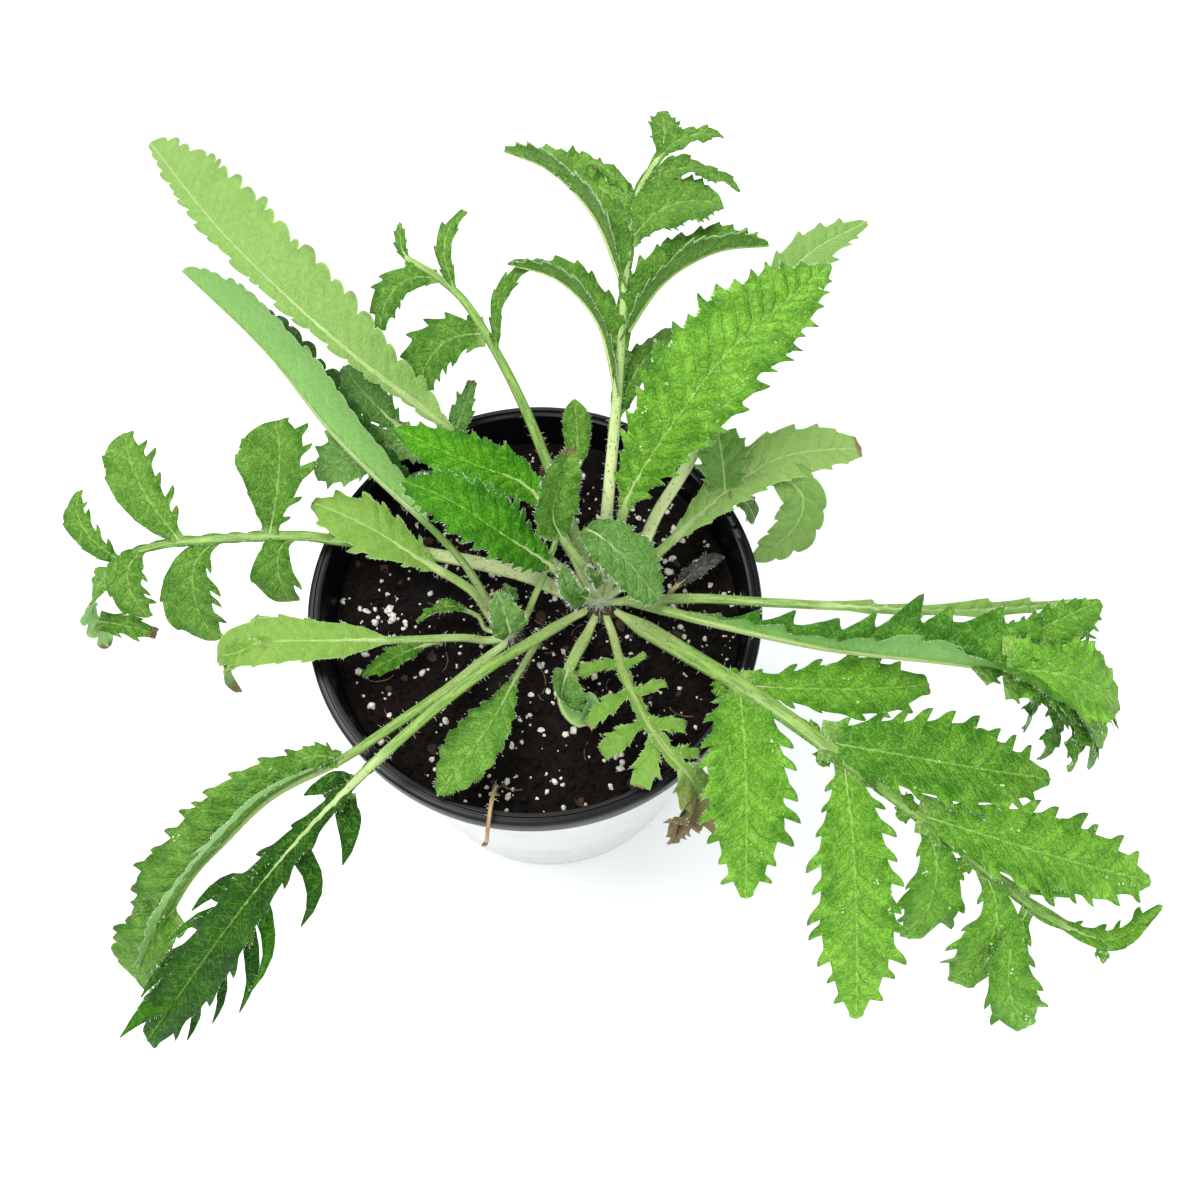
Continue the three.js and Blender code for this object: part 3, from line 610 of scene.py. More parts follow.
class Path:
    """A smooth curve through points, walked by its length."""

    def __init__(self, points: list[Array], coiled: bool = False) -> None:
        """Fits the curve and measures it; a coiled one turns round on itself."""
        self.coiled = coiled
        given = np.asarray(points, float)
        full = np.vstack([2 * given[0] - given[1], given, 2 * given[-1] - given[-2]])
        t = np.linspace(0, 1, 41)[:-1, None]
        runs = []
        for before, start, end, after in zip(full, full[1:], full[2:], full[3:]):
            leave, arrive = (end - before) / 2, (after - start) / 2
            bend = -3 * start + 3 * end - 2 * leave - arrive
            turn = 2 * start - 2 * end + leave + arrive
            runs.append(start + leave * t + bend * t**2 + turn * t**3)
        self.fine = np.vstack([*runs, given[-1:]])
        self.walked = np.concatenate([[0], np.cumsum(np.linalg.norm(np.diff(self.fine, axis=0), axis=1))])
        self.length = float(self.walked[-1])

    def at(self, shares: Array) -> Array:
        """The points at shares of the length; past its end the curve runs straight on."""
        walked = np.asarray(shares, float) * self.length
        inside = np.clip(walked, 0, self.length)
        points = np.stack([np.interp(inside, self.walked, self.fine[:, n]) for n in range(3)], -1)
        heading = self.fine[-1] - self.fine[-4]
        return points + np.multiply.outer(walked - inside, heading / np.linalg.norm(heading))

    def along(self, shares: Array) -> Array:
        """The headings at shares of the length."""
        shares = np.asarray(shares, float)
        step = self.at(np.minimum(shares + 0.004, 1)) - self.at(np.maximum(shares - 0.004, 0))
        return step / np.linalg.norm(step, axis=-1, keepdims=True)

    def frames(self, shares: Array, roll: Array | float) -> tuple[Array, Array, Array]:
        """The headings, the directions to the side and the directions that the face looks in.

        Args:
            shares: Places along the curve.
            roll: The turn about the heading there, in degrees.

        Returns:
            Headings, sides and faces, one row for each place.
        """
        reach = self.fine[-1] - self.fine[0]
        level = np.array([reach[1], -reach[0], 0.0])
        level /= np.linalg.norm(level)
        along = self.along(shares)
        if self.coiled:
            level = np.stack([along[:, 1], -along[:, 0], 0 * along[:, 0]], 1)
            level /= np.linalg.norm(level, axis=1, keepdims=True)
        flat = level - along * (along * level).sum(1, keepdims=True)
        flat /= np.linalg.norm(flat, axis=1, keepdims=True)
        up = np.cross(flat, along)
        turn = np.radians(np.broadcast_to(roll, (len(along),)))[:, None]
        side = flat * np.cos(turn) + up * np.sin(turn)
        return along, side, up * np.cos(turn) - flat * np.sin(turn)


@dataclass(frozen=True)
class Tooth:
    """A tooth's outline: places from notch to notch, how far out they stand and how far they lean on."""

    places: tuple[float, ...]
    out: tuple[float, ...]
    lean: tuple[float, ...]


class Margin(Enum):
    """How a blade's edge is cut."""

    SAW = Tooth(
        (0, 0.16, 0.32, 0.46, 0.58, 0.68, 0.75, 0.8, 0.85, 0.91, 0.96),
        (0, 0.07, 0.15, 0.27, 0.45, 0.7, 0.91, 1, 0.8, 0.4, 0.12),
        (0, 0, 0, 0.03, 0.1, 0.26, 0.44, 0.6, 0.58, 0.36, 0.12),
    )
    HOOK = Tooth(
        (0, 0.18, 0.36, 0.52, 0.62, 0.69, 0.76, 0.82, 0.87, 0.91, 0.95),
        (0, 0.02, 0.05, 0.11, 0.24, 0.46, 0.76, 0.95, 1, 0.8, 0.28),
        (0, 0, 0, 0.02, 0.08, 0.22, 0.42, 0.64, 0.9, 1, 0.45),
    )
    SCALLOP = Tooth(
        (0, 0.12, 0.25, 0.4, 0.55, 0.7, 0.82, 0.9, 0.96),
        (0, 0.4, 0.7, 0.9, 1, 0.95, 0.8, 0.5, 0.15),
        (0, 0.02, 0.05, 0.1, 0.2, 0.35, 0.5, 0.5, 0.2),
    )
    WAVE = Tooth(
        (0, 0.15, 0.3, 0.45, 0.6, 0.75, 0.9),
        (0, 0.5, 0.85, 1, 0.9, 0.6, 0.2),
        (0, 0, 0, 0.1, 0.15, 0.1, 0),
    )
    EVEN = Tooth((0, 0.25, 0.5, 0.75), (0.5, 0.55, 0.6, 0.55), (0, 0, 0, 0))


@dataclass(frozen=True)
class Blade:
    """A blade's form: its outline, teeth, fold and relief."""

    start: float
    width: float
    teeth: int
    sides: Pair = (1, 1)
    widest: float = 0.45
    fullness: float = 0.75
    cut: Pair = (0.28, 0.28)
    fold: tuple[float, ...] = (14, 14)
    roll: tuple[float, ...] = (0, 0)
    wave: float = 0.8
    margin: Margin = Margin.SAW
    finer: float = 1.4
    quilt: float = 0.6
    vein_gap: float = 6.0
    dry: float = 0.0
    droop: float = 0.7
    drops: int = 0
    slopes: Pair = (0, 0)
    # added to the leaf's depth tone: its own depth of green and painted shade
    depth_and_shade: float = 0.0
    plain: bool = False

    @staticmethod
    def bend(values: tuple[float, ...], places: Array) -> Array:
        """Angles given at even steps along a blade, read at places on it."""
        return np.interp(places, np.linspace(0, 1, len(values)), values)


@dataclass(frozen=True)
class Spine:
    """A blade's midrib at each of its rows, with the teeth beside it and the blade's span."""

    places: Array
    tooth: Array
    out: Array
    lean: Array
    taper: Array
    along: Array
    side: Array
    face: Array
    centre: Array
    span: float


@dataclass(frozen=True)
class Leaflet:
    """A leaflet: where it leaves the rib, where it ends and its form."""

    at: float
    tip: Point
    width: float
    teeth: int
    bow: float = 0.0
    arch: float | None = None
    cut: Pair = (0.28, 0.28)
    fold: tuple[float, ...] = (14, 14)
    widest: float = 0.5
    foot: float = 0.11
    # added to the leaf's depth tone: its own depth of green and painted shade
    depth_and_shade: float = 0.0
    more: dict = field(default_factory=dict)

    def blade(self, shared: dict) -> Blade:
        """The leaflet's blade, with what its leaf's leaflets share."""
        own = {"cut": self.cut, "fold": self.fold, "widest": self.widest, "fullness": 0.6}
        own["depth_and_shade"] = self.depth_and_shade
        return Blade(0.0, self.width, self.teeth, **{**own, **shared, **self.more})

    def path(self, rib: Path) -> Path:
        """The leaflet's midrib, which arches up and bows to its side."""
        root = rib.at(np.array([self.at]))[0] + np.array([0, 0, min(self.arch or 0, 0)])
        reach = np.array(self.tip, float) - root
        aside = np.array([reach[1], -reach[0], 0.0])
        aside /= np.linalg.norm(aside)
        arch = 0.1 * np.linalg.norm(reach) if self.arch is None else self.arch
        rows = [(0.35, arch, 0.85 * self.bow), (0.7, 0.85 * arch, 0.8 * self.bow), (1, 0, 0)]
        inner = [root + reach * share + aside * bow + np.array([0, 0, lift]) for share, lift, bow in rows]
        return Path([root, *inner])


@dataclass(frozen=True)
class Seat:
    """Where a leaf leaves a crown: the crown's name, the bearing and the slope."""

    crown: str
    bearing: float
    slope: float

    def heart(self) -> Array:
        """The place in the crown that the stalk comes from."""
        return np.array(CROWNS[self.crown][0], float) + np.array([0, 0, 0.6])

    def start(self) -> list[Array]:
        """The first two points of the leaf's rib."""
        centre, radius = CROWNS[self.crown]
        turn, rise = math.radians(self.bearing), math.radians(self.slope)
        heading = np.array([math.cos(rise) * math.cos(turn), math.cos(rise) * math.sin(turn), math.sin(rise)])
        return [np.array(centre) + heading * (radius + 0.4), np.array(centre) + heading * (radius + 5)]


@dataclass(frozen=True)
class Foot:
    """Where a stalk stands in the soil."""

    x: float
    y: float

    def heart(self) -> Array:
        """The place in the soil that the stalk comes from."""
        return np.array([self.x, self.y, SOIL_LEVEL - 9.0])

    def start(self) -> list[Array]:
        """The first two points of the stalk."""
        return [np.array([self.x, self.y, SOIL_LEVEL - 8.0]), np.array([self.x, self.y, SOIL_LEVEL + 3.0])]


@dataclass(frozen=True)
class HairCoat:
    """How hairy a leaf is: hairs on each millimetre of stalk and of edge, and their length."""

    stalk: float = 1.1
    edge: float = 0.7
    length: float = 1.7


@dataclass
class Roots:
    """Where hairs grow: their feet, the ways they point and their lengths; and where drops lie."""

    feet: list[Array] = field(default_factory=list)
    ways: list[Array] = field(default_factory=list)
    sizes: list[Array] = field(default_factory=list)
    drops: list[Array] = field(default_factory=list)

    def plant(self, feet: Array, ways: Array, length: float, rng: np.random.Generator) -> None:
        """Adds hairs at feet, each turned a little at random."""
        ways = ways / np.maximum(np.linalg.norm(ways, axis=1, keepdims=True), 1e-9)
        ways = ways + rng.normal(0, 0.3, ways.shape)
        self.feet.append(feet)
        self.ways.append(ways / np.linalg.norm(ways, axis=1, keepdims=True))
        self.sizes.append(length * rng.uniform(0.45, 1.25, len(feet)))

    def mesh(self, thickness: float = 0.05) -> Mesh:
        """The hairs as slim three-sided needles with a bend in them."""
        feet, ways, sizes = np.vstack(self.feet), np.vstack(self.ways), np.concatenate(self.sizes)[:, None]
        rng = np.random.default_rng(5)
        other = np.cross(ways, rng.normal(0, 1, ways.shape))
        other /= np.linalg.norm(other, axis=1, keepdims=True)
        third = np.cross(ways, other)
        knee = feet + ways * sizes * 0.55
        tip = knee + (ways + other * 0.35) * sizes * 0.45
        rings = []
        for centre, half in ((feet, thickness), (knee, thickness * 0.75)):
            for turn in (0, 2 * math.pi / 3, 4 * math.pi / 3):
                rings.append(centre + half * (other * math.cos(turn) + third * math.sin(turn)))
        count = len(feet)
        corners = np.stack([*rings, tip], 1).reshape(-1, 3)
        base = np.arange(count)[:, None] * 7
        quads = np.vstack([base + np.array([n, (n + 1) % 3, 3 + (n + 1) % 3, 3 + n]) for n in range(3)])
        points = np.vstack([base + np.array([3 + n, 3 + (n + 1) % 3, 6]) for n in range(3)])
        made = Mesh()
        made.add(corners, quads, 0)
        made.close(points, 0)
        return made


@dataclass(frozen=True)
class Leaf:
    """One whole leaf: what it grows from, its stalk, its blade and its leaflets."""

    name: str
    tone: Tone
    root: Seat | Foot
    stalk: tuple[float, ...]
    through: tuple[Point, ...]
    blade: Blade
    leaflets: tuple[Leaflet, ...] = ()
    shared: dict = field(default_factory=dict)
    coat: HairCoat = HairCoat()
    dotted: bool = False
    pale_foot: float = 0.5
    # the depth tone: the leaf's own depth of green and painted shade where it lies in shadow
    depth: float = 0.5
    wing: float = 0.0
    vein: float = 0.75
    lobes: bool = False
    face: Tone | None = None
    coiled: bool = False
    young: bool = False

    def wing_blade(self) -> Blade:
        """The narrow wing that runs along the rib between the leaflets."""
        first = min(leaflet.at for leaflet in self.leaflets) - 0.04
        return Blade(
            first, self.stalk[1] + 2 * self.wing, 9, margin=Margin.WAVE, widest=0.3, fullness=0.2,
            roll=self.blade.roll, wave=0.3, quilt=0.0,
        )

    def small_lobe(self, leaflet: Leaflet, rib: Path) -> Leaflet:
        """The small lobe that stands on the rib just below a leaflet."""
        at = leaflet.at - 5.0 / rib.length
        root = rib.at(np.array([at]))[0]
        reach = np.array(leaflet.tip, float) - root
        reach /= np.linalg.norm(reach)
        tip = root + (reach * 0.8 - rib.along(np.array([at]))[0] * 0.55) * (leaflet.width * 0.2 + 4.0)
        return Leaflet(at, tuple(tip), leaflet.width * 0.15 + 3.0, 2, arch=0.5, fold=(10, 10))


class LeafMaker:
    """Builds a leaf's fine mesh from its row in the table.

    Its mesh has three finishes: the upper face, the under face and the rib. Blades above the large
    area, in square millimetres, get the most columns, and those under the small one the fewest rows.
    """

    UPPER, UNDER, RIB = 0, 1, 2
    BASE_WIDTH = 3.2
    FLARE = 12.0
    SIDES = 10
    LARGE = 1500
    SMALL = 350
    BULGE = 0.28

    def __init__(self, leaf: Leaf, roots: Roots) -> None:
        """Keeps the leaf, the hairs' list and a draw of its own."""
        self.leaf = leaf
        self.roots = roots
        self.mesh = Mesh()
        self.rng = np.random.default_rng(sum(ord(letter) * (n + 1) for n, letter in enumerate(leaf.name)))

    def build(self, finishes: Finishes) -> bpy.types.Object:
        """Makes the leaf with its finishes.

        Args:
            finishes: The materials to choose from.

        Returns:
            The leaf's piece.
        """
        leaf = self.leaf
        rib = Path([*leaf.root.start(), *leaf.through], leaf.coiled)
        self.add_rib(rib)
        self.add_blade(rib, leaf.blade, leaf.stalk[1] / 2)
        if leaf.wing:
            self.add_blade(rib, leaf.wing_blade(), leaf.stalk[1] / 2)
        for leaflet in leaf.leaflets:
            path = leaflet.path(rib)
            self.add_blade(path, leaflet.blade(leaf.shared), leaflet.width * leaflet.foot)
            self.add_vein(path, leaf.vein)
            if leaf.lobes and leaflet.width > 24:
                lobe = leaf.small_lobe(leaflet, rib)
                self.add_blade(lobe.path(rib), lobe.blade({}), 2.0)
        stalk = finishes.stalk_dotted if leaf.dotted else finishes.stalk
        if leaf.tone in (Tone.DRY, Tone.ASH):
            stalk = finishes.stalk_dry
        above = finishes.upper[leaf.face or leaf.tone]
        piece = self.mesh.build(f"{leaf.name}_fine", [above, finishes.under[leaf.tone], stalk])
        return seat_piece(piece, SLOTS[leaf.tone], *([] if leaf.young else [leaf.name]))

    def add_rib(self, rib: Path) -> None:
        """Adds the stalk and, under the blade, the tapering midrib, with its hairs."""
        leaf, sides = self.leaf, self.SIDES
        shares = np.linspace(0, 1, max(24, int(rib.length / 2.6)))
        start = leaf.blade.start
        foot = leaf.stalk[2] if len(leaf.stalk) > 2 else self.BASE_WIDTH
        flare = np.clip(shares * rib.length / self.FLARE, 0, 1)
        full = leaf.stalk[0] + (leaf.stalk[1] - leaf.stalk[0]) * np.clip(shares / start, 0, 1)
        bare = np.minimum(full, foot) * (1 - flare) + full * flare
        past = np.clip((shares - start) / (1 - start), 0, 1)
        half = bare / 2 * (1 - past) ** 1.3 + 0.3 * past
        thick = np.minimum(half, (0.8 * half + 1.4) / 2) * (1 - past * 0.5)
        roll = Blade.bend(leaf.blade.roll, past)
        along, side, face = rib.frames(shares, roll * flare)
        centre = rib.at(shares) - face * (thick * np.where(past > 0, 0.12, 0))[:, None]
        sunk = np.array([0.25, 0.5, 0.75])
        shares = np.concatenate([[0, 0, 0], shares])
        centre = np.vstack([leaf.root.heart() + (centre[0] - leaf.root.heart()) * sunk[:, None], centre])
        along, side, face = (np.vstack([row[[0, 0, 0]], row]) for row in (along, side, face))
        half, thick = (np.concatenate([row[0] * (0.7 + 0.3 * sunk), row]) for row in (half, thick))
        past = np.concatenate([[0, 0, 0], past])
        turn = np.arange(sides) * 2 * math.pi / sides
        wide = half[:, None, None] * np.cos(turn)[:, None] * side[:, None]
        channel = np.where(np.sin(turn) > 0.9, 0.75, 1.0)
        tall = thick[:, None, None] * (np.sin(turn) * channel)[:, None] * face[:, None]
        corners = (centre[:, None] + wide + tall).reshape(-1, 3)
        lamina = self.round_map(turn, shares * rib.length)
        tones = np.zeros((len(shares), sides, 4))
        bleached = leaf.pale_foot * np.clip(1 - shares * rib.length / (45 * max(1, leaf.pale_foot)), 0, 1)
        bleached += np.clip(past * 8, 0, 0.38)
        tones[..., 1] = np.clip(bleached, 0, 1)[:, None]
        if leaf.blade.dry:
            tones[..., 0] = np.clip((past - 1 + leaf.blade.dry) / leaf.blade.dry, 0, 1)[:, None]
        faces = grid_faces(len(shares), sides, closed=True)[:, ::-1]
        first, last = self.mesh.count, self.mesh.count + (len(shares) - 1) * sides
        self.mesh.add(corners, faces, self.RIB, lamina, lamina, tones.reshape(-1, 4))
        self.mesh.close(np.arange(sides) + first, self.RIB)
        self.mesh.close(np.arange(sides)[::-1] + last, self.RIB)
        wanted = int(leaf.coat.stalk * rib.length * (0.4 + 0.6 * start))
        places = self.rng.integers(1, int(len(shares) * (0.35 + 0.65 * start)), wanted)
        spots = places * sides + self.rng.integers(0, sides, wanted)
        outward = corners - np.repeat(centre, sides, 0)
        drift = self.rng.uniform(-1.3, 1.3, (wanted, 1)) * along[places]
        self.roots.plant(corners[spots] + drift, outward[spots], leaf.coat.length, self.rng)

    @staticmethod
    def round_map(turn: Array, walked: Array) -> Array:
        """The map round a rib: the share of a full turn, and centimetres along it."""
        return np.stack(np.broadcast_arrays(turn[None] / 6.3, (walked / 10)[:, None]), -1).reshape(-1, 2)

    def add_vein(self, path: Path, half: float) -> None:
        """Adds a leaflet's own slim midrib."""
        shares = np.linspace(0, 0.97, max(10, int(path.length / 4)))
        _, side, face = path.frames(shares, 0)
        size = (half * (1 - shares) + 0.15)[:, None, None]
        turn = np.arange(6) * math.pi / 3
        centre = path.at(shares) - face * (size[:, 0] * 0.3)
        ring = side[:, None] * np.cos(turn)[:, None] + face[:, None] * np.sin(turn)[:, None] * 0.9
        corners = (centre[:, None] + ring * size).reshape(-1, 3)
        lamina = self.round_map(turn, shares * path.length)
        tones = np.tile([0.0, 0.35, 0.0, 0.0], (len(corners), 1))
        faces = grid_faces(len(shares), 6, closed=True)[:, ::-1]
        self.mesh.add(corners, faces, self.RIB, lamina, lamina, tones)

    def teeth(self, blade: Blade, coarse: bool) -> tuple[Array, Array, Array, Array]:
        """The rows of a blade, gathered round its teeth.

        Args:
            blade: The blade's form.
            coarse: Whether it is small and needs fewer rows.

        Returns:
            The rows' places on the blade, their tooth numbers, how far out they stand and how far
            they lean.
        """
        count = max(2, round(blade.teeth * blade.finer))
        form = blade.margin.value
        kept = [n for n in range(len(form.places)) if not coarse or n % 2 == 0 or form.out[n] == 1]
        notches = np.arange(count + 1) / count
        notches[1:-1] += self.rng.uniform(-0.25, 0.25, count - 1) / count
        tooth = np.repeat(np.arange(count), len(kept))
        phase = np.tile([form.places[n] for n in kept], count)
        places = notches[tooth] + phase * (notches[tooth + 1] - notches[tooth])
        out, lean = (np.append(np.tile([row[n] for n in kept], count), 0.0) for row in (form.out, form.lean))
        return np.append(places, 1.0), np.append(tooth, count), out, lean

    def add_blade(self, path: Path, blade: Blade, root_half: float) -> None:
        """Adds a blade with its upper and under faces, and hairs along its edge.

        Args:
            path: The midrib.
            blade: The blade's form.
            root_half: Half the width where it starts.
        """
        area = blade.width * ((1 - blade.start) * path.length)
        columns = 9 if area > self.LARGE else 7 if area > self.SMALL else 5
        spine = self.spine(path, blade, area < self.SMALL)
        halves = [self.half_blade(spine, blade, hand, columns, root_half) for hand in (0, 1)]
        pairs = [np.concatenate([left[:, :0:-1], right], 1) for left, right in zip(*halves)]
        joined, veins, lamina, tips = pairs
        if blade.plain:
            veins[..., 1], lamina[..., 0] = 0.25, lamina[..., 0] + 0.7
        tones = self.blade_tones(spine, blade, tips)
        maps = veins.reshape(-1, 2), lamina.reshape(-1, 2), tones.reshape(-1, 4)
        faces = grid_faces(*joined.shape[:2])
        body = self.BULGE * (1 - np.abs(np.linspace(-1, 1, joined.shape[1])) ** 3)
        body[[0, -1]] = 0
        for slot, sign, turned in ((self.UPPER, 1, faces), (self.UNDER, -1, faces[:, ::-1])):
            sheet = (joined + spine.face[:, None] * (sign * body)[None, :, None]).reshape(-1, 3)
            self.mesh.add(sheet, turned, slot, *maps)
        if blade.drops:
            self.bead(blade.drops, joined, spine.face)

    def spine(self, path: Path, blade: Blade, coarse: bool) -> Spine:
        """The midrib at each row of a blade."""
        places, tooth, out, lean = self.teeth(blade, coarse)
        swell = math.log(0.5) / math.log(blade.widest)
        taper = np.maximum(np.sin(np.pi * places**swell), 0) ** blade.fullness
        shares = blade.start + (1 - blade.start) * places
        along, side, face = path.frames(shares, Blade.bend(blade.roll, places))
        span = (1 - blade.start) * path.length
        return Spine(places, tooth, out, lean, taper, along, side, face, path.at(shares), span)

    def half_blade(
        self, spine: Spine, blade: Blade, hand: int, columns: int, root_half: float
    ) -> tuple[Array, Array, Array, Array]:
        """One half of a blade, with hairs along its edge.

        Args:
            spine: The midrib at each row.
            blade: The blade's form.
            hand: 0 for the left half and 1 for the right one.
            columns: How many strips lie between the midrib and the edge.
            root_half: Half the width where the blade starts.

        Returns:
            The points, the vein map, the lamina map and how near each point is to a tooth's tip.
        """
        places, tooth, taper, along = spine.places, spine.tooth, spine.taper, spine.along
        count, sign, cut = tooth[-1], 2 * hand - 1, blade.cut[hand]
        s = np.linspace(0, 1, columns + 1)[None] ** 0.9
        size = (self.rng.uniform(0.55, 1.15, count + 1)[tooth] * spine.out)[:, None]
        drift = np.interp(places, np.linspace(0, 1, count + 2), self.rng.uniform(0.9, 1.08, count + 2))
        half = blade.width / 2 * blade.sides[hand] * (taper * drift)[:, None]
        least = (root_half * (1 - places) + 0.25 * places)[:, None]
        notch = np.maximum(half * (1 - cut), least)
        tall = blade.width / 4 * blade.sides[hand] * cut * (taper + np.minimum(3 * taper, 1))[:, None]
        reach = notch * s + np.minimum(tall * size, notch * 1.5) * s**3
        fold = Blade.bend(blade.fold, places)[:, None]
        slope = np.radians(fold * (1 + blade.droop * (0.5 - s)) + blade.slopes[hand])
        step = np.diff(reach, axis=1, prepend=0)
        spread, lift = np.cumsum(np.cos(slope) * step, 1), np.cumsum(np.sin(slope) * step, 1)
        gap = min(spine.span / count, 9.0)
        forward = (spine.lean * gap * 0.55 * np.clip(cut * 4, 0, 1) * taper)[:, None] * size * s**3
        walked = (places * spine.span)[:, None] + forward
        ruffle = np.sin(2 * math.pi * places * (2.2 + 0.4 * sign) + self.rng.uniform(0, 6.3))
        crisped = self.rng.normal(0, 0.6, count + 1)[tooth] * spine.out
        ruffle += crisped - 0.35 * np.cos(2 * math.pi * places * count)
        lift = lift + (taper * blade.wave * ruffle)[:, None] * s**2.2
        passed = (walked - 0.85 * reach) / blade.vein_gap + 0.5 * hand
        puffed = np.abs(np.sin(math.pi * passed)) ** 0.8 * np.sin(math.pi * np.clip(s * 0.9 + 0.1, 0, 1))
        lift = lift + blade.quilt * puffed * np.minimum(taper[:, None] * 1.4, 1)
        sheet = spine.centre[:, None] + along[:, None] * forward[..., None]
        sheet = sheet + spine.face[:, None] * lift[..., None]
        sheet = sheet + spine.side[:, None] * (sign * spread)[..., None]
        self.fringe(sheet[:, -1], spine.side * sign + along * 0.5)
        veins = np.stack([0.5 + 0.5 * sign * np.broadcast_to(s, reach.shape), passed], -1)
        return sheet, veins, np.stack([sign * reach / 10, walked / 10], -1), size * s**6

    def blade_tones(self, spine: Spine, blade: Blade, tips: Array) -> Array:
        """A blade's tones: its dried end, its pale foot, the depth of its green with painted shade darker
        towards its foot, and its tooth tips.

        Args:
            spine: The midrib at each row.
            blade: The blade's form.
            tips: How near each corner is to a tooth's tip.

        Returns:
            Four channels for each corner.
        """
        places = spine.places
        tones = np.zeros((*tips.shape, 4))
        if blade.dry:
            tones[..., 0] = np.clip((places - 1 + blade.dry) / blade.dry, 0, 1)[:, None]
        tones[..., 1] = np.clip(0.5 - places * 5, 0, 0.5)[:, None]
        # the depth channel mixes the leaf's own depth of green with painted shade for leaflets lying in
        # shadow
        depth = self.leaf.depth + blade.depth_and_shade + self.rng.uniform(-0.15, 0.15)
        # painted shade: darker towards the blade's foot, where it meets the rib, and lighter towards its tip
        tones[..., 2] = depth + (0.3 * (0.5 - places))[:, None]
        tones[..., 3] = tips
        return tones

    def bead(self, drops: int, sheet: Array, face: Array) -> None:
        """Lays clusters of water drops on a blade."""
        rows, width = sheet.shape[:2]
        heads = self.rng.integers(rows // 8, rows * 7 // 8, max(1, drops // 4))
        row = np.clip(np.repeat(heads, 5) + self.rng.integers(-2, 3, len(heads) * 5), 0, rows - 1)
        column = np.repeat(self.rng.integers(2, width - 2, len(heads)), 5)
        near = self.rng.normal(0, 0.5, (len(row), 3))
        near -= face[row] * (near * face[row]).sum(1, keepdims=True)
        self.roots.drops.append(sheet[row, column] + near + face[row] * 0.3)

    def fringe(self, edge: Array, outward: Array) -> None:
        """Plants hairs along a blade's edge."""
        steps = np.linalg.norm(np.diff(edge, axis=0), axis=1)
        wanted = int(steps.sum() * self.leaf.coat.edge)
        if wanted < 1 or self.leaf.coat.edge <= 0:
            return
        chance = steps / steps.sum()
        spots = self.rng.choice(len(steps), wanted, p=chance)
        between = self.rng.uniform(0, 1, (wanted, 1))
        feet = edge[spots] * (1 - between) + edge[spots + 1] * between
        self.roots.plant(feet, outward[spots], self.leaf.coat.length * 0.55, self.rng)


SOIL_LEVEL = 148.0
CROWNS = {"main": ((24, 5, 150), 9.0), "side": ((-9, -9, 150), 6.0)}
SLOTS = {
    Tone.BRIGHT: "leaf_bright",
    Tone.MIDDLE: "leaf_middle",
    Tone.PALE: "leaf_pale",
    Tone.YELLOW: "leaf_yellow",
    Tone.GREY: "leaf_grey",
    Tone.DARK: "leaf_dark",
    Tone.DRY: "dry_leaf",
    Tone.ASH: "dry_leaf",
}
DOWNY = HairCoat(stalk=2.2, edge=1.6, length=2.0)
WOOLLY = HairCoat(stalk=5.0, edge=4.0, length=3.0)

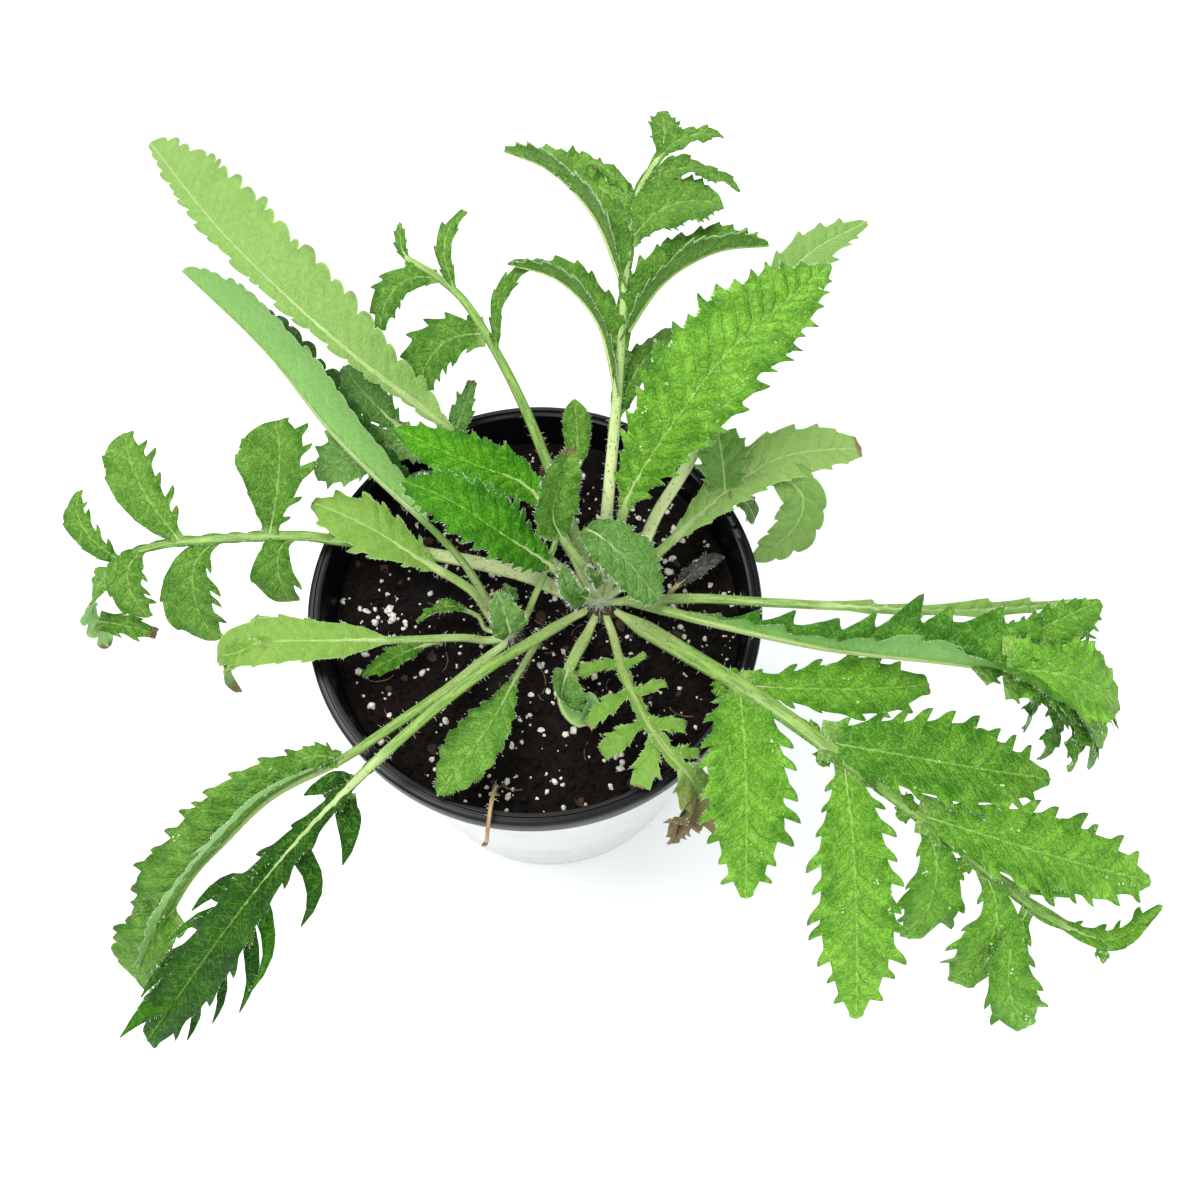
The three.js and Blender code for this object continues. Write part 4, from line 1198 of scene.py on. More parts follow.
LEAVES = (
    Leaf(
        "leaf_tall_back", Tone.MIDDLE, Seat("main", 88, 38), stalk=(5, 2.2),
        through=((27, 37, 188), (30, 66, 208), (33, 106, 222), (36, 129, 227), (46, 151, 228),
            (47, 174, 224)),
        blade=Blade(start=0.84, width=13, teeth=4, cut=(0.25, 0.25), fold=(15, 15), widest=0.6),
        leaflets=(
            Leaflet(0.37, (-10, 111, 214), 19, 5, bow=11, foot=0.15,
                more={"sides": (0.9, 1.15), "slopes": (80, 0), "dry": 0.05}),
            Leaflet(0.33, (54, 93, 200), 13, 4, bow=-3, foot=0.15),
            Leaflet(0.47, (85, 119, 214), 24, 6, bow=-8, foot=0.12,
                more={"sides": (1.15, 0.95), "slopes": (0, 80)}),
            Leaflet(0.57, (-12, 156, 222), 24, 6, bow=7, foot=0.15,
                more={"sides": (0.95, 1.1), "slopes": (80, 0)}),
            Leaflet(0.66, (68, 131, 222), 28, 6, bow=-5, foot=0.15, widest=0.58),
            Leaflet(0.68, (4, 146, 226), 18, 4, bow=4, foot=0.15, depth_and_shade=-0.4),
            Leaflet(0.75, (20, 141, 233), 7, 2),
            Leaflet(0.78, (75, 140, 219), 11, 4, bow=-6, foot=0.15),
            Leaflet(0.85, (69, 159, 226), 10, 3, bow=-3, foot=0.2),
        ),
        shared={"wave": 1.3, "finer": 2.1, "cut": (0.17, 0.17)}, wing=1.5, dotted=True, pale_foot=2.0,
        depth=0.4,
    ),
    Leaf(
        "leaf_back_left", Tone.MIDDLE, Seat("main", 110, 5), stalk=(5, 2.8),
        through=((4, 52, 172), (-6, 72, 186), (-17, 90, 197), (-27, 104, 203), (-38, 113, 206),
            (-49, 121, 207), (-52, 137, 206)),
        blade=Blade(start=0.88, width=6, teeth=3, cut=(0.3, 0.3), fold=(15, 15)),
        leaflets=(
            Leaflet(0.58, (4, 114, 212), 8, 4, bow=-8, fold=(25, 25)),
            Leaflet(0.63, (-45, 72, 181), 26, 5, bow=9, arch=3, foot=0.25),
            Leaflet(0.8, (-58, 95, 196), 17, 4, bow=7, foot=0.2),
            Leaflet(0.75, (-26, 137, 212), 8, 3, bow=-6),
        ),
    ),
    Leaf(
        "leaf_long_upper", Tone.PALE, Seat("main", 125, 38), stalk=(4.6, 3.4),
        through=((-4, 43, 170), (-40, 67, 184), (-72, 86, 202), (-114, 125, 212), (-156, 184, 198)),
        blade=Blade(start=0.3, width=41, sides=(0.3, 1), widest=0.58, teeth=14, cut=(0.3, 0.16),
            fold=(10, 10), roll=(0, 6), finer=1.7, fullness=0.52, quilt=0.3, margin=Margin.SCALLOP),
        depth=0.4,
    ),
    Leaf(
        "leaf_long_folded", Tone.GREY, Seat("side", 127, 40), stalk=(4.2, 3.2),
        through=((-18, 2, 163), (-27, 13, 173), (-40, 25, 180), (-57, 40, 184), (-76, 59, 188),
            (-102, 91, 190), (-141, 133, 183)),
        blade=Blade(start=0.24, width=33, widest=0.5, teeth=12, cut=(0.07, 0.16), fold=(68, 68),
            roll=(-60, -74), wave=0.5, finer=1.6, fullness=0.52, quilt=0.2, margin=Margin.SCALLOP),
        face=Tone.DARK,
    ),
    Leaf(
        "leaf_pale_short", Tone.YELLOW, Seat("side", 138, 5), stalk=(4, 3.4),
        through=((-24, 6, 160), (-44, 16, 168), (-58, 24, 172), (-72, 31, 173), (-83, 36, 172)),
        blade=Blade(start=0.34, width=25, widest=0.62, teeth=5, cut=(0.22, 0.26), fold=(6, 6), dry=0.05,
            margin=Margin.HOOK),
        depth=0.65,
    ),
    Leaf(
        "leaf_left_pinnate", Tone.MIDDLE, Seat("main", 166, 5), stalk=(6.6, 2.6),
        through=((-3, 13, 157), (-26, 18, 160), (-51, 21, 164), (-72, 22, 169), (-89, 22, 173),
            (-121, 19, 175), (-140, 17, 173), (-153, 13, 167), (-163, 3, 158), (-160, -12, 147)),
        blade=Blade(start=0.8, width=17, teeth=6, cut=(0.3, 0.3), fold=(12, 12), widest=0.68, fullness=0.5,
            margin=Margin.SCALLOP, wave=1.6, dry=0.12, depth_and_shade=-0.4),
        leaflets=(
            Leaflet(0.55, (-97, 65, 182), 31, 5, cut=(0.04, 0.4), widest=0.62, bow=4),
            Leaflet(0.7, (-153, 61, 180), 23, 5, cut=(0.04, 0.45), bow=-3, widest=0.55),
            Leaflet(0.82, (-170, 41, 172), 12, 4, cut=(0.1, 0.45), bow=-5),
            Leaflet(0.64, (-119, -10, 150), 24, 4, cut=(0.4, 0.05), bow=7, arch=6, widest=0.6),
            Leaflet(0.51, (-92, 4, 154), 21, 3, cut=(0.4, 0.05), bow=4, arch=5, widest=0.6),
            Leaflet(0.77, (-142, -4, 158), 17, 4, bow=5, arch=4, cut=(0.35, 0.1)),
            Leaflet(0.95, (-143, -6, 146), 11, 3, arch=2, foot=0.4, more={"dry": 0.3}),
        ),
        shared={"margin": Margin.HOOK, "finer": 1.15, "wave": 1.0}, wing=1.2, pale_foot=2.0, depth=0.35,
    ),
    Leaf(
        "leaf_left_spoon", Tone.YELLOW, Seat("side", 190, 12), stalk=(3.2, 3),
        through=((-27, -12, 158), (-48, -16, 166), (-71, -19, 173), (-93, -20, 174), (-106, -21, 167),
            (-109, -25, 160), (-106, -31, 153)),
        blade=Blade(start=0.34, width=20, widest=0.55, teeth=6, cut=(0.1, 0.1), fold=(10, 10, 14, 40),
            dry=0.16, margin=Margin.HOOK, fullness=0.6),
        leaflets=(
            Leaflet(0.74, (-114, -19, 160), 11, 3, arch=2, bow=-3, foot=0.3, depth_and_shade=0.5),
            Leaflet(0.68, (-101, -9, 168), 11, 3, arch=2, foot=0.3, depth_and_shade=0.2),
        ),
        shared={"margin": Margin.SCALLOP, "wave": 1.2}, vein=0.3,
    ),
    Leaf(
        "leaf_small_low", Tone.BRIGHT, Foot(-36, -11), stalk=(2.2, 1.8),
        through=((-42, -14, 154), (-49, -18, 156), (-63, -25, 153)),
        blade=Blade(start=0.42, width=10, teeth=3, cut=(0.25, 0.25), fold=(15, 15)),
    ),
    Leaf(
        "leaf_small_side", Tone.MIDDLE, Seat("side", 163, 8), stalk=(2.2, 1.8, 1.8),
        through=((-22, -2, 155), (-32, -1, 160), (-44, -5, 156)),
        blade=Blade(start=0.42, width=9, teeth=4, cut=(0.25, 0.25), fold=(35, 35), roll=(-20, -20)),
        depth=0.7,
    ),
    Leaf(
        "leaf_side_heart", Tone.GREY, Seat("side", 100, 82), stalk=(3.2, 4),
        through=((-9, -12, 164), (-10, -9, 172), (-13, -2, 178)),
        blade=Blade(start=0.3, width=15, widest=0.4, teeth=4, cut=(0.12, 0.12), fold=(20, 20)),
        coat=DOWNY, depth=0.0,
    ),
    Leaf(
        "leaf_front_left", Tone.BRIGHT, Foot(0, -12), stalk=(3, 2.6),
        through=((-3, -19, 155), (-7, -29, 160), (-15, -48, 166), (-31, -73, 169)),
        blade=Blade(start=0.26, width=20, widest=0.68, teeth=7, cut=(0.14, 0.14), fold=(12, 12),
            roll=(0, 8), margin=Margin.WAVE, finer=1.6, fullness=0.85),
        face=Tone.MIDDLE, depth=0.15,
    ),
    Leaf(
        "leaf_low_left_wet", Tone.MIDDLE, Seat("side", 222, 5), stalk=(4.6, 3.4),
        through=((-31, -33, 161), (-48, -49, 169), (-63, -61, 172), (-85, -73, 171), (-101, -87, 165),
            (-118, -101, 150), (-138, -127, 122)),
        blade=Blade(start=0.38, width=34, sides=(0.6, 1.15), widest=0.55, teeth=9, cut=(0.14, 0.16),
            fold=(20, 20), roll=(-8, -8), slopes=(70, 0), drops=40, wave=1.4, quilt=0.8, fullness=0.42,
            margin=Margin.HOOK, finer=1.7),
        leaflets=(
            Leaflet(0.39, (-80, -64, 172), 11, 4, arch=2, bow=2, foot=0.3),
            Leaflet(0.82, (-141, -127, 122), 27, 5, arch=4, foot=0.35, widest=0.6,
                more={"fullness": 0.5, "margin": Margin.SCALLOP, "cut": (0.14, 0.14)}),
        ),
        depth=0.35,
    ),
    Leaf(
        "leaf_low_left_cut", Tone.DARK, Seat("main", 210, 5), stalk=(4.6, 3.6),
        through=((-2, -16, 163), (-18, -32, 175), (-41, -57, 185), (-69, -87, 184), (-94, -112, 167),
            (-132, -148, 126)),
        blade=Blade(start=0.4, width=25, widest=0.7, teeth=9, cut=(0.22, 0.26), fold=(12, 12), wave=0.9,
            margin=Margin.HOOK, fullness=0.6, finer=1.2),
        leaflets=(
            Leaflet(0.47, (-71, -77, 187), 9, 2, bow=2, arch=-1.5, foot=0.4),
            Leaflet(0.55, (-87, -102, 181), 6, 1, bow=2, arch=-1.5, foot=0.6),
            Leaflet(0.66, (-109, -110, 166), 8, 1, bow=5, arch=-1.5, foot=0.5),
            Leaflet(0.71, (-119, -119, 157), 5, 1, bow=4, arch=-1.5, foot=0.6, depth_and_shade=-0.9),
            Leaflet(0.79, (-130, -135, 143), 7, 1, bow=5, arch=-1.5, foot=0.5),
            Leaflet(0.85, (-134, -138, 134), 5, 1, bow=3, arch=-1.5, foot=0.6, depth_and_shade=-0.9),
            Leaflet(0.87, (-140, -147, 130), 9, 2, bow=2, arch=-1.5, foot=0.3, depth_and_shade=-0.8),
            Leaflet(0.49, (-58, -98, 181), 9, 2, bow=-2, arch=-1.5, foot=0.5),
            Leaflet(0.58, (-71, -116, 174), 7, 1, bow=-5, arch=-1.5, foot=0.6),
            Leaflet(0.67, (-90, -134, 155), 5, 1, bow=-5, arch=-1.5, foot=0.8, depth_and_shade=-0.9),
            Leaflet(0.71, (-95, -140, 148), 6, 1, bow=-4, arch=-1.5, foot=0.7),
            Leaflet(0.79, (-106, -143, 140), 4, 1, bow=-3, arch=-1.5, foot=0.9),
            Leaflet(0.86, (-116, -148, 133), 4, 1, bow=-2, arch=-1.5, foot=0.9),
        ),
        shared={"margin": Margin.EVEN, "cut": (0.1, 0.1), "quilt": 0.0, "wave": 0.3, "fullness": 0.9,
            "widest": 0.3, "plain": True, "finer": 3.0}, vein=0.1, depth=0.7,
    ),
    Leaf(
        "leaf_curled", Tone.GREY, Seat("main", 248, 5), stalk=(5.4, 4),
        through=((14, -21, 160), (10, -34, 164), (11, -42, 165), (16, -47, 164), (21.5, -44, 163),
            (23, -38, 162), (20, -34, 161.5), (17, -36, 161)),
        blade=Blade(start=0.38, width=19, widest=0.4, teeth=7, cut=(0.08, 0.08), fold=(40, 62, 66),
            roll=(0, 55, 80), wave=0.4, quilt=0.5, fullness=0.5, drops=8),
        coiled=True, depth=0.1,
    ),
    Leaf(
        "leaf_front_small", Tone.YELLOW, Seat("main", 288, 5), stalk=(3.6, 2.8),
        through=((32, -27, 161), (37, -41, 166), (41, -50, 170), (48, -61, 173), (53, -66, 171),
            (56, -71, 163), (52, -77, 151), (48, -83, 138)),
        blade=Blade(start=0.62, width=24, teeth=6, cut=(0.4, 0.3), fold=(10, 40, 55, 40),
            roll=(0, 20, -30, 30), wave=3.4, dry=1.7, widest=0.36),
        leaflets=(
            Leaflet(0.19, (13, -27, 158), 6, 4, arch=1, bow=1, foot=0.3),
            Leaflet(0.21, (40, -20, 162), 4, 2, arch=1, foot=0.3),
            Leaflet(0.31, (19, -48, 167), 8, 4, arch=1, bow=1, foot=0.25, widest=0.6),
            Leaflet(0.32, (47, -31, 163), 5.5, 3, arch=1, foot=0.3),
            Leaflet(0.43, (24, -57, 163), 10, 4, arch=1, foot=0.12, widest=0.66),
            Leaflet(0.44, (53, -49, 168), 7, 3, arch=1, foot=0.3, widest=0.6),
            Leaflet(0.5, (37, -70, 168), 11, 4, arch=2, foot=0.25, widest=0.66),
            Leaflet(0.57, (57, -59, 171), 6, 3, arch=1, foot=0.3),
        ),
        shared={"finer": 1.0, "cut": (0.3, 0.3), "quilt": 0.2, "wave": 0.9, "fullness": 0.42,
            "plain": True, "dry": 0.09},
        wing=1.7, depth=0.85, vein=0.2,
    ),
    Leaf(
        "leaf_low_right", Tone.BRIGHT, Seat("main", -34, 5), stalk=(7.5, 3),
        through=((59, -25, 168), (78, -42, 178), (105, -66, 184), (130, -85, 180), (153, -101, 170),
            (172, -111, 158), (195, -117, 149), (214, -106, 150)),
        blade=Blade(start=0.82, width=13, teeth=5, sides=(1.1, 0.6), cut=(0.6, 0.05), fold=(15, 15),
            margin=Margin.HOOK, finer=1.0),
        leaflets=(
            Leaflet(0.25, (136, -36, 176), 27, 6, arch=3, bow=3, widest=0.6, foot=0.2),
            Leaflet(0.25, (72, -105, 158), 36, 8, arch=9, widest=0.45, depth_and_shade=-0.2),
            Leaflet(0.39, (174, -68, 172), 36, 8, arch=7, bow=3, widest=0.48, foot=0.2, depth_and_shade=0.4),
            Leaflet(0.43, (108, -142, 146), 34, 9, arch=8, widest=0.5, depth_and_shade=-0.25),
            Leaflet(0.55, (206, -100, 162), 34, 8, arch=6, bow=3, widest=0.48, foot=0.2,
                depth_and_shade=0.1),
            Leaflet(0.56, (129, -116, 142), 26, 4, arch=4, bow=-6, widest=0.6),
            Leaflet(0.67, (145, -130, 136), 29, 4, arch=5, bow=-7, widest=0.62),
            Leaflet(0.76, (169, -144, 130), 23, 4, arch=5, bow=9, widest=0.6),
            Leaflet(0.7, (186, -101, 158), 5, 3, arch=2, bow=3),
            Leaflet(0.88, (193, -124, 146), 6, 2, arch=1),
        ),
        shared={"margin": Margin.HOOK, "finer": 1.2, "wave": 1.4, "drops": 14, "fullness": 0.72},
        wing=1.6, lobes=True, depth=0.42,
    ),
    Leaf(
        "leaf_right_folded", Tone.BRIGHT, Seat("main", -14, 38), stalk=(6, 4.4),
        through=((50, -8, 172), (78, -21, 185), (103, -29, 191), (141, -36, 196), (167, -41, 194),
            (188, -53, 174), (194, -60, 156)),
        blade=Blade(start=0.16, width=42, sides=(1.1, 0.75), widest=0.6, teeth=9, cut=(0.36, 0.24),
            fold=(62, 60, 56, 26, 14), roll=(38, 38, 32, 12, 4), slopes=(-18, 6), margin=Margin.SAW, wave=2.8,
            quilt=1.0, depth_and_shade=0.3),
        leaflets=(
            Leaflet(0.63, (194, -10, 188), 18, 8, arch=2, foot=0.5, widest=0.5,
                depth_and_shade=-0.2, more={"sides": (0.7, 1.5)}),
            Leaflet(0.68, (198, -42, 179), 33, 8, arch=7, foot=0.35, widest=0.58,
                depth_and_shade=-0.35, more={"sides": (0.95, 1.1)}),
            Leaflet(0.72, (172, -48, 160), 13, 4, arch=3, bow=-4, foot=0.5, depth_and_shade=0.3),
            Leaflet(0.76, (178, -57, 156), 12, 4, arch=4, bow=-4, foot=0.4),
            Leaflet(0.74, (196, -54, 167), 20, 5, arch=6, bow=3, foot=0.35, depth_and_shade=-0.3),
            Leaflet(0.8, (188, -61, 155), 13, 4, arch=4, bow=-3, foot=0.4),
        ),
        shared={"margin": Margin.HOOK, "wave": 1.8, "cut": (0.2, 0.2)}, depth=0.75,
    ),
    Leaf(
        "leaf_right_back", Tone.PALE, Seat("main", 2, 5), stalk=(4.4, 3.4),
        through=((60, 1, 164), (87, -5, 174), (146, -12, 184), (196, -5, 176)),
        blade=Blade(start=0.42, width=8, widest=0.5, teeth=5, cut=(0.4, 0.4), fold=(10, 10), finer=1.0),
    ),
    Leaf(
        "leaf_back_right", Tone.YELLOW, Seat("main", 42, 5), stalk=(4.6, 3.8),
        through=((48, 23, 162), (60, 31, 172), (74, 40, 181), (92, 48, 186), (121, 57, 176)),
        blade=Blade(start=0.24, width=26, sides=(0.9, 0.8), widest=0.62, teeth=7, cut=(0.16, 0.16),
            fold=(8, 8), roll=(-8, -8), fullness=0.5, dry=0.07, depth_and_shade=-1.0),
        leaflets=(
            Leaflet(0.48, (66, 56, 189), 25, 4, arch=3, foot=0.3, widest=0.62,
                depth_and_shade=0.9, more={"fullness": 0.45}),
            Leaflet(0.5, (82, 35, 160), 15, 3, arch=3, foot=0.3, depth_and_shade=1.2),
            Leaflet(0.62, (82, 22, 151), 20, 5, arch=7, bow=-17, foot=0.12,
                depth_and_shade=0.2, more={"margin": Margin.SCALLOP, "cut": (0.2, 0.2)}),
        ),
        face=Tone.PALE,
    ),
    Leaf(
        "leaf_behind_quilted", Tone.PALE, Seat("main", 30, 30), stalk=(5, 4),
        through=((44, 32, 168), (57, 51, 178), (76, 88, 188), (100, 129, 192), (130, 155, 186)),
        blade=Blade(start=0.62, width=22, widest=0.5, teeth=5, fold=(12, 12)),
        pale_foot=2.0,
    ),
    Leaf(
        "leaf_quilted", Tone.BRIGHT, Seat("main", 55, 52), stalk=(4.6, 4),
        through=((33, 29, 186), (50, 48, 211), (69, 69, 222), (107, 111, 214)),
        blade=Blade(start=0.18, width=46, sides=(1, 0.92), widest=0.53, teeth=10, cut=(0.2, 0.22),
            fold=(14, 14), wave=2.0, quilt=2.3, vein_gap=7.0, finer=1.8, fullness=0.85, drops=16),
        depth=0.25,
    ),
    Leaf(
        "leaf_heart_hairy", Tone.GREY, Seat("main", 80, 62), stalk=(3.4, 3),
        through=((21, 17, 168), (18, 20, 181), (25, 13, 188), (34, 4, 186), (44, -5, 177)),
        blade=Blade(start=0.42, width=24, widest=0.55, teeth=9, cut=(0.14, 0.14), fold=(24, 10), fullness=0.5,
            roll=(0, 10)),
        coat=DOWNY, depth=0.45,
    ),
    Leaf(
        "leaf_centre_bright", Tone.BRIGHT, Seat("main", 164, 38), stalk=(4, 3.4),
        through=((5, 10, 174), (-11, 14, 191), (-27, 21, 201), (-45, 31, 198)),
        blade=Blade(start=0.22, width=27, widest=0.52, teeth=8, cut=(0.24, 0.24), fold=(15, 15), wave=1.4,
            quilt=0.9, finer=1.7),
        coat=DOWNY, face=Tone.LUSH, depth=0.6,
    ),
    Leaf(
        "leaf_centre_back", Tone.BRIGHT, Seat("main", 150, 60), stalk=(3.6, 3.2),
        through=((9, 24, 174), (-4, 39, 180), (-23, 44, 187), (-41, 51, 191), (-51, 57, 190)),
        blade=Blade(start=0.34, width=23, widest=0.5, teeth=7, cut=(0.16, 0.16), fold=(10, 10), quilt=0.8),
        face=Tone.LUSH, depth=0.3,
    ),
    Leaf(
        "leaf_centre_folded", Tone.MIDDLE, Seat("main", 115, 68), stalk=(3.2, 3),
        through=((16, 12, 174), (9, 18, 184), (7, 22, 192), (10, 30, 203), (13, 37, 211)),
        blade=Blade(start=0.44, width=19, widest=0.42, teeth=5, cut=(0.12, 0.12), fold=(36, 30),
            fullness=0.55, dry=0.14, margin=Margin.WAVE),
        coat=DOWNY, depth=0.25,
    ),
    Leaf(
        "leaf_centre_spoon", Tone.MIDDLE, Seat("side", 60, 5), stalk=(2.6, 2.4, 2.4),
        through=((-1, 3, 159), (4, 14, 163.5), (10, 33, 169), (15, 54, 179), (14, 72, 186)),
        blade=Blade(start=0.62, width=12, widest=0.68, teeth=4, cut=(0.04, 0.04), fold=(20, 14), wave=0.3,
            margin=Margin.WAVE),
        depth=0.3,
    ),
    Leaf(
        "leaf_back_low", Tone.GREY, Seat("main", 138, 5), stalk=(4.4, 2.8),
        through=((-14, 35, 160), (-37, 54, 168), (-52, 66, 175), (-65, 78, 179), (-75, 92, 178)),
        blade=Blade(start=0.72, width=20, widest=0.5, teeth=4, cut=(0.3, 0.3), fold=(10, 10)),
        leaflets=(
            Leaflet(0.66, (-83, 48, 172), 30, 6, arch=4, foot=0.3, widest=0.58, depth_and_shade=-0.9),
            Leaflet(0.54, (-24, 83, 182), 11, 4, arch=2, more={"dry": 0.12}),
            Leaflet(0.5, (-50, 47, 170), 7, 2, arch=1, cut=(0.05, 0.05)),
        ),
    ),
    Leaf(
        "dry_stalk", Tone.DRY, Foot(-13, -65), stalk=(1.6, 1.4, 1.4),
        through=((-13, -69, 159), (-13, -77, 169), (-14, -84, 166), (-15, -86, 158), (-17, -86, 151)),
        blade=Blade(start=0.86, width=2.2, teeth=2, cut=(0.3, 0.3), fold=(5, 5), wave=0),
    ),
    Leaf(
        "dry_leaf", Tone.ASH, Foot(50, 9), stalk=(2, 2),
        through=((54, 12, 153), (61, 17, 155), (70, 24, 152)),
        blade=Blade(start=0.4, width=9, teeth=3, cut=(0.2, 0.2), fold=(28, 28), wave=1.5),
    ),
    Leaf(
        "seedling", Tone.GREY, Foot(-10, 5), stalk=(1.6, 1.2),
        through=((-10, 6, 155), (-12, 9, 159)),
        blade=Blade(start=0.55, width=6, teeth=2, cut=(0.05, 0.05), fold=(8, 8)),
    ),
)


YOUNG = (
    Leaf(
        "young_leaf_folded", Tone.GREY, Seat("main", -165, 57), stalk=(3, 2.6),
        through=((12, 1.8, 169.1), (10.1, 11.6, 171)),
        blade=Blade(start=0.05, width=11, widest=0.4, teeth=5, cut=(0.12, 0.12), fold=(40, 40)), coat=WOOLLY,
        young=True, depth=0.3,
    ),
    Leaf(
        "young_leaf_toothed", Tone.BRIGHT, Seat("main", 48, 70), stalk=(2.6, 2.2),
        through=((28.4, 9.9, 168), (31.4, 9.9, 174), (35.8, 4.1, 173)),
        blade=Blade(start=0.2, width=10, widest=0.5, teeth=5, cut=(0.2, 0.2), fold=(20, 20)), coat=WOOLLY,
        young=True, depth=0.8,
    ),
    Leaf(
        "young_leaf_upright", Tone.GREY, Seat("main", 134, 78), stalk=(2.2, 1.8),
        through=((21.7, 7.4, 166.1), (18.4, 10, 172.4)),
        blade=Blade(start=0.15, width=7, widest=0.45, teeth=4, cut=(0.15, 0.15), fold=(45, 45)), coat=WOOLLY,
        young=True, depth=0.2,
    ),
    Leaf(
        "young_leaf_side", Tone.GREY, Seat("side", 156, 66), stalk=(2, 1.6),
        through=((-13.3, -7.1, 160.7), (-16.6, -4.1, 164.4)),
        blade=Blade(start=0.15, width=6, widest=0.45, teeth=3, cut=(0.15, 0.15), fold=(40, 40)), coat=WOOLLY,
        young=True, depth=0.3,
    ),
)


@dataclass
class Lathe:
    """A body turned about the pot's axis, from an outline that starts and ends on it."""

    outline: list[Pair]
    sides: int = 168

    def mesh(self) -> Mesh:
        """The turned body's mesh."""
        points = np.array(self.outline, float)
        ring = points[points[:, 0] > 0]
        size = len(ring)
        turn = np.arange(self.sides) * 2 * math.pi / self.sides
        x, y = ring[None, :, 0] * np.cos(turn)[:, None], ring[None, :, 0] * np.sin(turn)[:, None]
        z = np.broadcast_to(ring[None, :, 1], (self.sides, size))
        near, far = np.arange(self.sides) * size, (np.arange(self.sides) + 1) % self.sides * size
        bands = [np.stack([near + n, far + n, far + n + 1, near + n + 1], 1) for n in range(size - 1)]
        made = Mesh()
        made.add(np.stack([x, y, z], -1).reshape(-1, 3), np.vstack(bands), 0)
        made.close(near[::-1], 0)
        made.close(near + size - 1, 0)
        return made


@dataclass
class NurseryPot:
    """The black grower's pot and the white outer pot it stands in."""

    height: float = 165.0
    rim: float = 82.5
    band: float = 8.0
    mouth: float = 77.5
    floor: float = 63.0
    wall: float = 1.5
    outer_floor: float = 3.0
    gap: float = 0.3
    liner_floor: float = 2.0
    drain_ring: float = 46.0
    drain: float = 4.0
    drains: int = 4
    slot_radius: float = 79.6
    slot_bearings: Pair = (24.0, 20.0)
    slot_half: Point = (0.9, 2.2, 6.0)
    sharp: float = 35.0

    def inner(self, z: float) -> float:
        """The inside radius of the grower's pot at a height."""
        low = self.outer_floor + self.gap + self.liner_floor
        return self.floor + (self.mouth - self.floor) * (z - low) / (self.height - low)

    def build(self, finishes: Finishes) -> None:
        """Makes both pots."""
        self.liner(finishes.liner)
        self.cover(finishes.outer)

    def liner(self, finish: bpy.types.Material) -> bpy.types.Object:
        """The black pot: tapered wall, drained floor, rounded grooved rim and two tag slots."""
        low = self.outer_floor + self.gap
        floor = low + self.liner_floor
        top, rim, ledge = self.height, self.rim, self.height - 1.5
        outline = [
            (0, low), (self.inner(low) + self.wall - 0.8, low), (self.inner(low) + self.wall, low + 0.8),
            (self.inner(80) + self.wall, 80), (self.inner(ledge) + self.wall, ledge), (rim - 1.5, ledge),
            (rim - 1.5, top - self.band), (rim - 0.3, top - self.band), (rim, top - self.band + 0.4),
            (rim, top - 1.2), (rim - 0.35, top - 0.35), (rim - 1.0, top), (rim - 2.2, top),
            (rim - 2.5, top - 0.6), (rim - 3.0, top - 0.6), (rim - 3.3, top), (self.mouth + 1.0, top),
            (self.mouth + 0.4, top - 0.3), (self.mouth, top - 1.2), (self.mouth - 0.4, top - 6.0),
            (self.inner(top - 6.6), top - 6.6), (self.inner(100), 100), (self.inner(floor + 2), floor + 2),
            (self.floor - 1.5, floor), (0, floor),
        ]
        piece = Lathe(outline).mesh().build("growers_pot_fine", [finish], maps=False, sharp=self.sharp)
        cutters = [self.tag_slot(bearing) for bearing in self.slot_bearings]
        cutters += [self.hole(360 * (n + 0.5) / self.drains, low, floor) for n in range(self.drains)]
        carve(piece, cutters)
        piece.data.set_sharp_from_angle(angle=math.radians(self.sharp))
        return seat_piece(piece, "growers_pot", "growers_pot")

    def cover(self, finish: bpy.types.Material) -> bpy.types.Object:
        """The white pot round it, open under the black rim."""
        reach = self.wall + self.gap
        top = self.height - self.band - 0.5
        outside = reach + self.wall
        outline = [
            (0, 0.0), (self.inner(0) + outside - 1.2, 0.0), (self.inner(0.4) + outside - 0.3, 0.4),
            (self.inner(1.2) + outside, 1.2), (self.inner(78) + outside, 78),
            (self.inner(top) + outside - 0.3, top - 0.4), (self.inner(top) + outside - 0.7, top),
            (self.inner(top) + reach + 0.3, top), (self.inner(top) + reach, top - 0.5),
            (self.inner(self.outer_floor) + reach, self.outer_floor), (0, self.outer_floor),
        ]
        piece = Lathe(outline).mesh().build("outer_pot_fine", [finish], maps=False, sharp=self.sharp)
        return seat_piece(piece, "outer_pot", "outer_pot")

    def tag_slot(self, bearing: float) -> bpy.types.Object:
        """A box-shaped cutter for one tag slot in the rim."""
        turn = math.radians(bearing)
        out, side = np.array([math.cos(turn), math.sin(turn)]), np.array([-math.sin(turn), math.cos(turn)])
        thick, wide, tall = self.slot_half
        corners = [
            [*(out * (self.slot_radius + thick * a) + side * wide * b), self.height + tall * c]
            for c in (-1, 1)
            for a, b in ((-1, -1), (1, -1), (1, 1), (-1, 1))
        ]
        faces = [[3, 2, 1, 0], [4, 5, 6, 7], [0, 1, 5, 4], [1, 2, 6, 5], [2, 3, 7, 6], [3, 0, 4, 7]]
        made = Mesh()
        made.add(np.array(corners), np.array(faces), 0)
        return made.build("slot_cutter", [], maps=False)

    def hole(self, bearing: float, low: float, high: float) -> bpy.types.Object:
        """A cutter for one drain hole."""
        turn = math.radians(bearing)
        middle = np.array([self.drain_ring * math.cos(turn), self.drain_ring * math.sin(turn), 0])
        outline = [(0, low - 1), (self.drain, low - 1), (self.drain, high + 1), (0, high + 1)]
        made = Lathe(outline, 24).mesh()
        made.corners = [part + middle for part in made.corners]
        return made.build("drain_cutter", [], maps=False)


